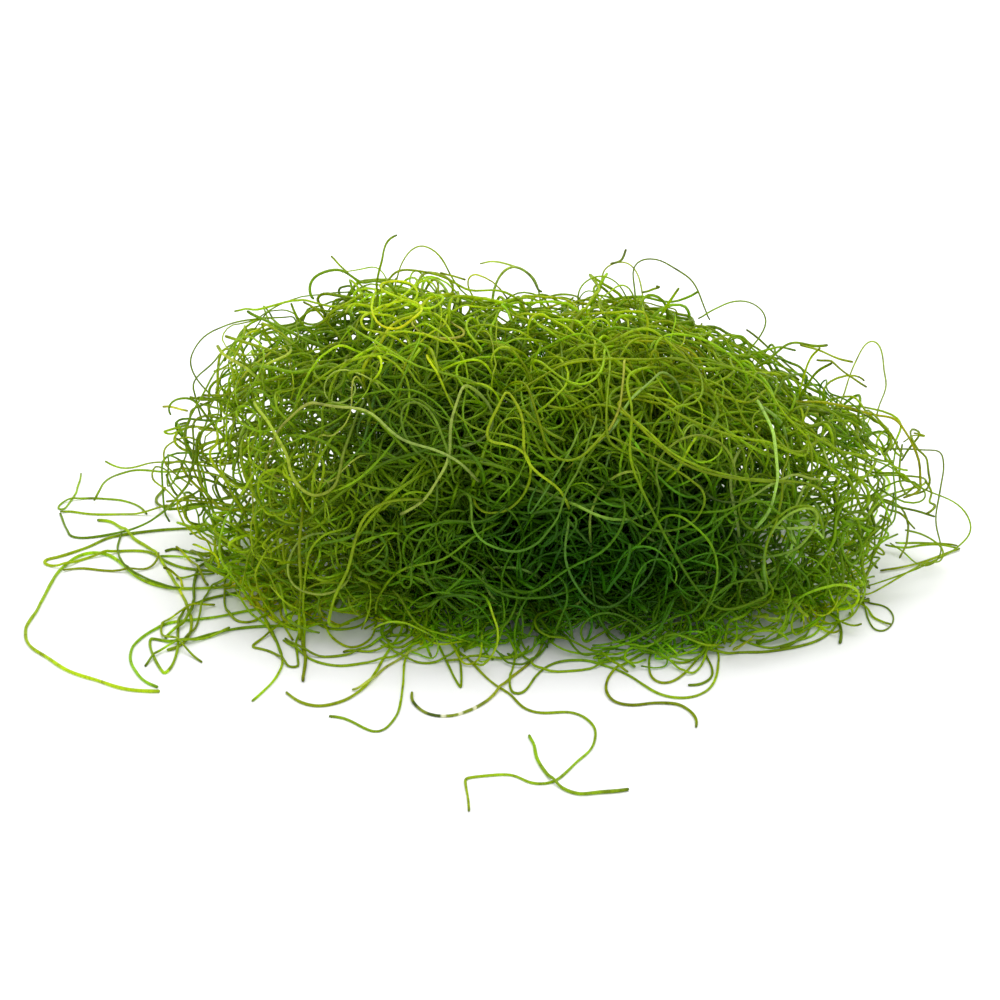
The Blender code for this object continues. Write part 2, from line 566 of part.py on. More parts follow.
def main():
    for thing in list(bpy.data.objects):
        bpy.data.objects.remove(thing, do_unlink=True)
    collection = bpy.data.collections.new("spaghetti_algae")
    bpy.context.scene.collection.children.link(collection)
    heap = bpy.data.objects.new("heap", None)
    collection.objects.link(heap)

    make_mass(collection).parent = heap
    laid, fixed = lay_filaments()
    for name, (radius, run) in laid.items():
        first, last = outside_mass(run, radius)
        kept = [i - first for i in fixed[name] if first < i < last]
        run = run[first : last + 1]
        route = run[few_points(run, kept, CHORD)]
        make_filament(collection, name, radius, FILAMENTS[name][1], route).parent = heap


main()
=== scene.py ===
"""The looks of a loose heap of spaghetti algae: long, unbranched, curling filaments.

All lengths are in millimetres until a mesh is made. The tangle is grown as hundreds
of separate filaments that wander inside one lumpy outline, then pushed apart for a
number of rounds. The filaments that leave the tangle lie where the model's
own solids lie, and run on into the tangle.
"""

import math

import bpy
import numpy as np
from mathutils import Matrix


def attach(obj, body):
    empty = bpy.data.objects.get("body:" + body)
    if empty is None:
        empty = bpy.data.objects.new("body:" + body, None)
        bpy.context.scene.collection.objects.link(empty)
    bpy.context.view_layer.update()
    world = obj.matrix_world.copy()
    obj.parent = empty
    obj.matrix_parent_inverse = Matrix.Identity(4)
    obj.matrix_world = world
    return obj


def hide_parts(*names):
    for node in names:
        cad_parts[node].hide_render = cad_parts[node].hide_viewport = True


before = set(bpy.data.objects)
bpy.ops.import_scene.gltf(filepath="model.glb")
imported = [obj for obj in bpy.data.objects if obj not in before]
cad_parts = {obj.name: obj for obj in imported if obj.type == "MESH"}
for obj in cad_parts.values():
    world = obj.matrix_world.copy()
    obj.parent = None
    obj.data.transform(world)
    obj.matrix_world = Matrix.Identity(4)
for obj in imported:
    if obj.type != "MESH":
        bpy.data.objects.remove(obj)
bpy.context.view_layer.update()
rng = np.random.default_rng(31871)

MM = 0.001
SHIFT = np.array([-0.45, 6.1, 0.0])

# ---- the outline of the tangle ----------------------------------------------

MASS_CENTRE_X, MASS_CENTRE_Y = 7.0, 9.0
MASS_HALF_LENGTH, MASS_HALF_DEPTH = 54.8, 34.0
MASS_WAIST_HEIGHT, MASS_END_LIFT, MASS_FOOT_TUCK = 8.0, 6.0, 7.0
MASS_LUMPS = 0.045
SIDE_POWER, TOP_POWER = 2.3, 2.0
# the outline from left to right, read off the view, as (across, down)
OUTLINE = (
    (165, 480), (172, 440), (190, 412), (205, 405), (225, 345), (250, 315), (300, 298), (340, 272),
    (380, 270), (430, 273), (470, 288), (520, 291), (570, 296), (620, 291), (660, 300), (700, 309),
    (740, 326), (780, 345), (830, 376), (870, 408), (905, 425), (935, 455), (941, 500),
)  # fmt: skip

GAP = 0.06
THIN, MIDDLING, STOUT = 0.24, 0.27, 0.31
SEGMENT = 0.25
CLIMB = 0.3
MIDDLE = np.array([MASS_CENTRE_X, MASS_CENTRE_Y, 6.0])


def mass_plan(x):
    """At x: half depth, waist height, how open the section is, and how near the end."""
    t = np.clip(np.abs((np.asarray(x, float) - MASS_CENTRE_X) / MASS_HALF_LENGTH), 0, 1)
    depth = MASS_HALF_DEPTH * (1 - t**2.6) ** (1 / 2.2)
    waist = MASS_WAIST_HEIGHT + MASS_END_LIFT * t**5
    return depth, waist, np.sqrt(1 - t**6), t


def mass_section(x):
    depth, waist, closing, t = mass_plan(x)
    above = (np.interp(x, STATIONS, HEIGHTS) - waist) * closing
    low = -MASS_FOOT_TUCK + (waist + MASS_FOOT_TUCK) * t**9
    below = (waist - low) * closing
    return depth, waist, above, below


def lumps(x, angle):
    return MASS_LUMPS * (
        0.55 * np.sin(x / 5.3 + 1.3) * np.sin(3 * angle + 0.7)
        + 0.45 * np.sin(x / 8.7 - 0.6) * np.cos(2 * angle - 0.4)
        + 0.35 * np.sin(x / 3.9 + 2.1) * np.cos(5 * angle + 1.9)
    )


def mass_value(points, room=1.0):
    """Under 1 inside the outline, drawn larger or smaller by room."""
    points = (points - MIDDLE) / np.asarray(room)[..., None] + MIDDLE
    x, y, z = points[..., 0], points[..., 1], points[..., 2]
    depth, waist, above, below = mass_section(x)
    depth, above, below = (np.maximum(v, 1e-3) for v in (depth, above, below))
    swell = 1 + lumps(x, np.arctan2(z - waist, y - MASS_CENTRE_Y))
    across = np.abs(y - MASS_CENTRE_Y) / depth / swell
    tall = np.where(z > waist, (z - waist) / above, (waist - z) / below) / swell
    beyond = np.abs(x - MASS_CENTRE_X) / MASS_HALF_LENGTH
    value = across**SIDE_POWER + np.abs(tall) ** TOP_POWER
    return np.where(beyond < 1, np.minimum(value, 40), 1 + 20 * (beyond - 1))


def unit(v):
    return v / np.maximum(np.linalg.norm(v, axis=-1, keepdims=True), 1e-9)


# where filaments are fewer (or, below 0, more) than the outline alone would have it:
# centre, half sizes, amount
ZONES = (
    ((-33.0, 9.0, 41.5), (9.0, 90.0, 6.0), 0.95),
    ((-14.0, 9.0, 47.0), (22.0, 90.0, 5.0), 0.60),
    ((12.0, 9.0, 47.0), (18.0, 90.0, 4.0), 0.50),
    ((31.0, 9.0, 40.0), (6.0, 90.0, 4.0), -0.10),
    ((51.0, 9.0, 33.0), (13.0, 90.0, 9.0), 0.85),
    ((56.0, 9.0, 21.0), (9.0, 90.0, 10.0), 0.45),
    ((-45.0, 9.0, 31.0), (5.0, 90.0, 7.0), 0.75),
    ((-49.0, 9.0, 12.0), (8.0, 90.0, 8.0), -0.15),
    ((-37.0, -14.0, 2.0), (15.0, 14.0, 8.0), 0.9),
    ((57.0, -4.0, 2.0), (6.0, 8.0, 5.0), -0.20),
)
RIM_LIFT = 0.9


def fewer(points):
    """The sum of the zones at these points, and of the heap's raised rim."""
    total = np.zeros(len(points))
    for centre, size, amount in ZONES:
        total += amount * np.exp(-((((points - np.array(centre)) / np.array(size)) ** 2).sum(1)))
    across = np.hypot((points[:, 0] - MIDDLE[0]) / 54.8, (points[:, 1] - MIDDLE[1]) / 34.0)
    under = np.clip((across - 0.5) / 0.3, 0, 1) * np.exp(-((points[:, 2] / 4.0) ** 2))
    return total, under


def value_and_outward(points, room, shy):
    """The outline's value, and roughly the direction in which it grows."""
    off = (points - MIDDLE) / np.asarray(room)[:, None]
    half = np.stack([off[:, 0] * 0 + 54.8, off[:, 0] * 0 + 34.0, np.where(off[:, 2] > 0, 36.0, 14.0)], 1)
    share = off / half
    zone, under = fewer(points)
    outward = unit(np.sign(share) * np.abs(share) ** 1.6 / half)
    outward[:, 2] -= 1.2 * under * shy
    return mass_value(points, room) + shy * (zone + RIM_LIFT * under), unit(outward)


# ---- the sight from which the filaments' routes are read ---------------------

SIGHT_TILT = math.radians(24.5)
SIGHT_DISTANCE = 500.0
SIGHT_LENGTH = 3333.3
SIGHT_AIM_HEIGHT = 14.0


def sight_line(across, down):
    c, s = math.cos(SIGHT_TILT), math.sin(SIGHT_TILT)
    eye = np.array([0.0, -SIGHT_DISTANCE * c, SIGHT_AIM_HEIGHT + SIGHT_DISTANCE * s])
    right = (across - 500.0) / SIGHT_LENGTH
    rise = (500.0 - down) / SIGHT_LENGTH
    return eye, np.array([right, c + rise * s, -s + rise * c])


def at_height(across, down, height):
    eye, way = sight_line(across, down)
    return eye + way * ((height - eye[2]) / way[2])


def at_depth(across, down, depth):
    eye, way = sight_line(across, down)
    point = eye + way * ((depth - eye[1]) / way[1])
    point[2] = max(point[2], 0.3)
    return point


def crown_from_outline():
    """The crown's height at stations: each section just touches the line of sight there."""
    stations, heights = [], []
    depths = np.linspace(MASS_CENTRE_Y - MASS_HALF_DEPTH, MASS_CENTRE_Y + MASS_HALF_DEPTH, 137)
    for across, down in OUTLINE:
        sight = np.array([at_depth(across, down, y) for y in depths])
        depth, waist, opening, _ = mass_plan(sight[:, 0])
        off = np.abs(depths - MASS_CENTRE_Y) / np.maximum(depth, 0.1)
        over = (off < 0.97) & (sight[:, 2] > waist)
        if not over.any():
            continue
        room = np.where(over, 1 - off**SIDE_POWER, 1.0)
        above = np.where(over, (sight[:, 2] - waist) / room ** (1 / TOP_POWER), np.inf)
        touch = int(above.argmin())
        if opening[touch] > 0.4:  # nearer the ends the section closes by itself
            stations.append(float(sight[touch, 0]))
            heights.append(float(waist[touch] + above[touch] / opening[touch]))
    return stations, heights


STATIONS, HEIGHTS = crown_from_outline()


def at_skin(across, down, lift):
    """Where this line of sight meets the tangle's near side, lift outside it."""
    eye, way = sight_line(across, down)
    steps = np.arange(-60.0, 60.0, 0.25)
    line = eye + way * ((steps - eye[1]) / way[1])[:, None]
    line = line[line[:, 2] > 0.2]
    value = mass_value(line)
    inside = np.flatnonzero(value < 1)
    i = int(inside[0]) if len(inside) else int(value.argmin())
    return line[i] - way / np.linalg.norm(way) * lift


# ---- the filaments that leave the tangle -------------------------------------

FILAMENTS = {
    # trailing to the left
    "filament_left_great_loop": (MIDDLING, "green", "flat", (
        (160, 691), (150, 691), (136, 691), (120, 688), (97, 680), (80, 675), (65, 669),
        (45, 656), (33, 649), (26, 641), (25, 632), (29, 622), (40, 605), (50, 585),
        (57, 574), (65, 566), (73, 559), (82, 554), (92, 552), (103, 553), (115, 558),
        (125, 566), (135, 575), (150, 583), (170, 588), (200, 588), (240, 585), (280, 583))),
    "filament_left_inner_hook": (THIN, "dark", "flat", (
        (158, 687), (150, 684), (142, 679), (135, 671), (130, 663), (130, 655), (134, 645),
        (145, 634), (165, 624), (190, 620), (215, 617), (245, 611), (290, 604))),
    "filament_left_narrow_loop": (THIN, "green", "flat", (
        (240, 530), (200, 528), (160, 530), (122, 535), (110, 537), (100, 541), (90, 546), (82, 549), (70, 553),
        (57, 557), (46, 559), (42, 562), (47, 565), (60, 567), (70, 565), (80, 560), (90, 557),
        (110, 553), (120, 551), (145, 551), (153, 554), (165, 561), (185, 568), (240, 572))),
    "filament_left_far_tip": (THIN, "green", "flat", (
        (81, 473), (80, 482), (76, 492), (70, 502), (63, 510), (58, 509), (59, 506), (66, 501),
        (78, 499), (90, 498), (110, 499), (122, 500), (132, 503), (141, 508), (147, 514))),
    "filament_left_far_curl": (THIN, "dark", "flat", (
        (60, 513), (62, 519), (66, 530), (70, 536), (80, 538), (95, 537), (112, 534),
        (127, 531), (140, 526, 1.0), (150, 521, 2.0), (160, 514, 3.5), (170, 507, 5.0), (200, 490, 8.0))),
    "filament_left_upper_reach": (THIN, "green", "flat", (
        (94, 502), (96, 498, 0.6), (100, 489, 2.5), (108, 480, 5.5), (121, 474, 8.0), (137, 470, 9.5),
        (166, 472, 10.0), (200, 470, 11.0))),
    "filament_left_upper_tip": (THIN, "green", "flat", (
        (105, 461, 10.5), (113, 466, 9.8), (123, 469, 9.6), (137, 467, 10.4), (150, 463, 11.5), (170, 462, 12.5), (205, 462, 13.0))),
    "filament_left_s_bend": (MIDDLING, "green", "flat", (
        (97, 520), (110, 521), (120, 527), (128, 533), (135, 540), (145, 546), (153, 552),
        (161, 561), (170, 574), (177, 586), (184, 598), (188, 608), (191, 620), (190, 632), (185, 641), (176, 648), (167, 650))),
    "filament_left_triangle_kink": (THIN, "dark", "flat", (
        (300, 625), (240, 628), (205, 636), (183, 643), (165, 641), (151, 638), (151, 638), (150, 645), (152, 653), (156, 662), (160, 669), (164, 674), (164, 674),
        (170, 668), (175, 657), (178, 645), (178, 632), (179, 621), (185, 611), (205, 600), (240, 592))),
    "filament_left_cut_tip": (STOUT, "dark", "flat", (
        (165, 638), (170, 633), (176, 630), (185, 624), (191, 614), (194, 602), (194, 590), (196, 577), (203, 565), (230, 550))),

    # trailing to the front left
    "filament_front_left_tip": (MIDDLING, "green", "flat", (
        (252, 701), (258, 696), (265, 689), (273, 681), (279, 672), (283, 663), (283, 654), (279, 645), (272, 635), (265, 620), (268, 600))),
    "filament_front_left_hairpin": (THIN, "green", "flat", (
        (310, 606), (290, 616), (280, 626), (268, 635), (258, 641), (251, 647), (251, 647), (262, 649), (272, 652), (281, 658), (286, 663), (288, 667), (288, 667),
        (298, 667), (298, 667), (297, 655), (296, 645), (300, 633), (312, 620))),
    "filament_front_left_long_arc": (MIDDLING, "green", "flat", (
        (286, 692), (292, 697), (300, 702), (310, 705), (320, 706), (332, 704), (345, 700), (357, 693),
        (366, 686), (372, 678), (378, 669), (383, 660), (389, 650), (400, 636))),
    "filament_front_left_deep_bow": (MIDDLING, "green", "flat", (
        (329, 716), (340, 717), (350, 721), (357, 725), (365, 729), (375, 732), (384, 729), (392, 721), (398, 712),
        (401, 701), (402, 689), (403, 676), (405, 664), (409, 652), (418, 636))),
    "filament_front_left_low_arc": (THIN, "green", "flat", (
        (283, 640), (300, 652), (312, 660), (325, 664), (340, 666), (355, 665), (370, 663), (385, 660), (397, 655), (410, 648), (430, 636))),
    "filament_front_pale_tip": (THIN, "pale", "flat", (
        (352, 690), (360, 689), (367, 685), (375, 678), (384, 669), (395, 662), (405, 656), (420, 648), (440, 638))),

    # trailing to the front
    "filament_front_loose_long": (THIN, "green", "flat", (
        (440, 634), (452, 643), (460, 652), (470, 661), (478, 669), (488, 679), (498, 687), (507, 692), (512, 696), (516, 701),
        (522, 707), (530, 711), (540, 713), (552, 713), (568, 712), (580, 715), (589, 721), (595, 729),
        (595, 738), (592, 747), (586, 754), (578, 760), (570, 768), (562, 776), (553, 782), (542, 784), (530, 783),
        (522, 779), (513, 775), (503, 774), (490, 775), (476, 776), (465, 778), (465, 778), (466, 787), (468, 798), (469, 811))),
    "filament_front_loose_short": (STOUT, "dark", "flat", (
        (529, 735), (533, 745), (537, 757), (542, 767), (548, 775), (555, 782), (563, 788), (572, 792), (581, 794),
        (592, 793), (605, 792), (618, 791), (629, 789))),
    "filament_front_banded": (MIDDLING, "banded", "flat", (
        (548, 622), (545, 634), (542, 645), (537, 655), (528, 664), (518, 672), (508, 680), (498, 690), (488, 700), (475, 708),
        (460, 714), (450, 716), (437, 716), (426, 713), (418, 707), (413, 700), (412, 692))),
    "filament_front_wide_bow": (THIN, "green", "flat", (
        (518, 640), (516, 652), (514, 665), (511, 676), (510, 686), (514, 694), (520, 694), (525, 690), (531, 683), (537, 675), (544, 668), (553, 663),
        (565, 661), (578, 660), (590, 661), (602, 665), (615, 669), (630, 676), (645, 686), (657, 693), (670, 697), (685, 698),
        (699, 695), (709, 689), (715, 680), (718, 668), (718, 656), (714, 644), (705, 630))),
    "filament_front_folded_v": (THIN, "green", "flat", (
        (430, 634), (440, 648), (447, 662), (453, 675), (457, 682), (461, 688), (461, 688), (462, 678), (461, 665), (459, 652), (456, 634))),
    "filament_front_low_bow": (THIN, "dark", "flat", (
        (380, 640), (398, 656), (412, 661), (425, 663), (440, 661), (452, 656), (466, 646), (480, 634))),

    # trailing to the front right
    "filament_front_right_sweep": (MIDDLING, "green", "flat", (
        (696, 727), (696, 720), (692, 713), (686, 708), (678, 704), (666, 703), (650, 703), (638, 705), (627, 705), (617, 703),
        (610, 697), (606, 689), (607, 681), (611, 674), (617, 668), (625, 663), (635, 658), (648, 650), (662, 638))),
    "filament_front_right_ring": (THIN, "green", "flat", (
        (655, 645), (650, 655), (649, 665), (651, 675), (657, 681), (666, 683), (675, 680), (684, 673), (694, 663), (706, 650), (720, 635))),
    "filament_front_right_hook": (THIN, "dark", "flat", (
        (688, 685), (697, 685), (705, 682), (711, 677), (712, 669), (709, 661), (704, 652), (698, 640))),
    "filament_front_right_edge": (MIDDLING, "green", "flat", (
        (690, 640), (704, 650), (722, 654), (740, 652), (760, 652), (780, 650), (800, 646), (816, 641), (828, 633), (836, 623), (838, 612), (832, 600))),
    "filament_right_front_tip": (STOUT, "dark", "flat", (
        (840, 643), (841, 636), (841, 630), (838, 622), (832, 614), (820, 604))),
    "filament_right_small_ring": (THIN, "green", "flat", (
        (862, 600), (866, 611), (870, 621), (875, 629), (881, 632), (887, 630), (892, 625), (894, 618), (891, 611), (885, 606), (877, 604), (868, 603), (858, 596))),

    # standing clear of the right end
    "filament_right_long_bow": (THIN, "green", (8.0, -5.0), (
        (895, 470), (905, 478), (915, 485), (925, 490), (935, 494), (946, 498), (957, 504), (965, 512), (970, 521),
        (971, 530), (967, 538), (959, 545), (949, 553), (940, 558), (930, 563), (918, 568), (903, 574), (885, 581), (868, 586))),
    "filament_right_square_bend": (THIN, "dark", (10.0, 2.0), (
        (860, 440), (875, 447), (890, 449), (910, 449), (925, 450), (940, 450), (942, 452), (943, 460), (944, 468), (942, 478), (940, 490),
        (938, 502), (936, 514), (936, 524), (938, 533), (941, 543), (942, 552), (938, 561), (930, 566), (920, 566), (912, 561), (904, 552), (890, 543))),
    "filament_right_low_trail": (MIDDLING, "green", (6.0, -9.0), (
        (905, 530), (922, 534), (936, 542), (944, 551), (941, 561), (936, 568), (925, 574), (910, 581), (895, 588), (880, 593), (862, 595), (840, 592))),
    "filament_right_small_arch": (THIN, "green", (10.0, 10.0), (
        (903, 446), (908, 438), (913, 434), (920, 435), (926, 439), (928, 445), (923, 452), (912, 458))),
    "filament_right_tall_loop": (THIN, "pale", (15.0, 11.0), (
        (838, 410), (844, 396), (847, 384), (851, 371), (856, 360), (860, 351), (866, 343), (872, 340), (878, 343), (882, 351), (884, 362),
        (885, 373), (887, 383), (885, 393), (881, 401), (878, 409), (876, 420))),

    # standing out of the crown
    "filament_crown_right_stub": (STOUT, "green", (14.0, 14.0), (
        (768, 362), (777, 352), (785, 345), (796, 342), (806, 344), (818, 347), (828, 345))),
    "filament_crown_right_tip": (STOUT, "green", (12.0, 9.0), (
        (806, 388), (811, 379), (818, 371), (825, 367), (832, 363))),
    "filament_crown_right_arch": (THIN, "green", (16.0, 14.0), (
        (698, 320), (709, 312), (720, 307), (728, 303), (737, 301), (746, 301), (754, 304), (761, 309), (766, 317), (766, 326), (761, 335), (752, 348))),
    "filament_crown_great_arch": (THIN, "dark", (14.0, 18.0), (
        (637, 316), (635, 303), (634, 290), (632, 277), (632, 268), (636, 262), (644, 259), (653, 259), (662, 261), (671, 266), (681, 272), (690, 278),
        (696, 286), (700, 296), (704, 308), (710, 322))),
    "filament_crown_short_stub": (STOUT, "green", (12.0, 10.0), (
        (660, 318), (664, 310), (669, 303), (674, 296), (679, 288))),
    "filament_crown_middle_bow": (THIN, "green", (20.0, 20.0), (
        (578, 302), (578, 293), (581, 285), (588, 279), (596, 276), (604, 276), (612, 280), (619, 285), (625, 293), (630, 304))),
    "filament_crown_pale_bow": (THIN, "pale", (26.0, 22.0), (
        (600, 292), (602, 280), (604, 271), (610, 265), (618, 262), (626, 262), (633, 267), (638, 275), (641, 286), (643, 299), (645, 312))),
    "filament_crown_pale_wisp": (THIN, "pale", (26.0, 24.0), (
        (480, 265), (484, 262), (490, 261), (500, 262), (510, 265), (519, 268), (527, 272), (534, 279), (538, 288), (540, 300), (542, 314))),
    "filament_crown_left_arch": (THIN, "green", (16.0, 20.0), (
        (397, 282), (399, 271), (402, 262), (408, 253), (414, 248), (421, 245), (430, 248), (438, 254), (444, 262), (449, 272), (455, 283), (464, 295))),
    "filament_crown_left_spire": (MIDDLING, "dark", (12.0, 8.0), (
        (376, 285), (378, 272), (381, 262), (383, 252), (386, 244), (390, 238), (397, 235))),
    "filament_crown_left_tip": (THIN, "green", (14.0, 18.0), (
        (331, 256), (338, 263), (345, 270), (353, 278), (364, 288), (378, 300))),
    "filament_crown_left_bow": (THIN, "dark", (12.0, 12.0), (
        (314, 306), (311, 296), (310, 286), (314, 278), (322, 273), (332, 270), (342, 270), (351, 276), (362, 284), (374, 297))),

    # standing out of the left shoulder
    "filament_shoulder_wide_arch": (THIN, "dark", (14.0, 6.0), (
        (268, 318), (256, 319), (246, 320), (232, 323), (222, 327), (210, 332), (202, 338), (196, 346), (192, 354),
        (190, 362), (192, 370), (196, 378), (201, 385), (208, 392), (215, 399), (228, 408))),
    "filament_shoulder_cut_tip": (STOUT, "green", (9.0, 6.0), (
        (225, 336), (234, 339), (244, 342), (254, 345), (266, 349))),
    "filament_shoulder_hook": (THIN, "dark", (8.0, 8.0), (
        (171, 417), (168, 410), (169, 404), (175, 399), (183, 398), (191, 399), (197, 404), (203, 412), (212, 424))),
    "filament_shoulder_dark_tip": (STOUT, "dark", (14.0, 12.0), (
        (247, 311), (255, 317), (263, 323), (270, 332), (276, 345))),

    # behind the heap
    "filament_back_left_bow": (THIN, "green", "plan", (
        (-32, 26, 5), (-36, 36, 3), (-39, 44, 1), (-37, 51, 0), (-31, 54, 0), (-25, 52, 0), (-22, 45, 0.6), (-21, 36, 3), (-20, 28, 6))),
    "filament_back_middle_sweep": (MIDDLING, "green", "plan", (
        (-6, 34, 6), (-8, 42, 2.5), (-8, 49, 0.4), (-4, 55, 0), (3, 57, 0), (9, 54, 0), (13, 50, 0), (19, 49, 0), (23, 53, 0))),
    "filament_back_right_bow": (THIN, "dark", "plan", (
        (28, 28, 7), (31, 38, 3), (35, 46, 0.5), (42, 49, 0), (48, 45, 0), (50, 38, 0.4), (47, 28, 4), (43, 22, 8))),
    "filament_back_right_trail": (MIDDLING, "green", "plan", (
        (46, 16, 8), (54, 23, 4), (60, 30, 1), (63, 37, 0), (61, 43, 0), (56, 46, 0))),
    "filament_back_short_tip": (STOUT, "dark", "plan", (
        (-46, 18, 5), (-52, 24, 1.5), (-55, 30, 0), (-54, 35, 0))),
    "filament_back_slope_arch": (THIN, "green", "plan", (
        (-2, 34, 20), (0, 42, 22), (3, 46, 26), (8, 46, 29), (12, 41, 31), (13, 32, 32), (13, 26, 32))),
    "filament_right_back_loop": (THIN, "green", "plan", (
        (50, 8, 8), (60, 13, 9), (66, 18, 8.5), (66, 24, 7), (60, 26, 6.5), (52, 20, 8), (44, 14, 10))),
}  # fmt: skip

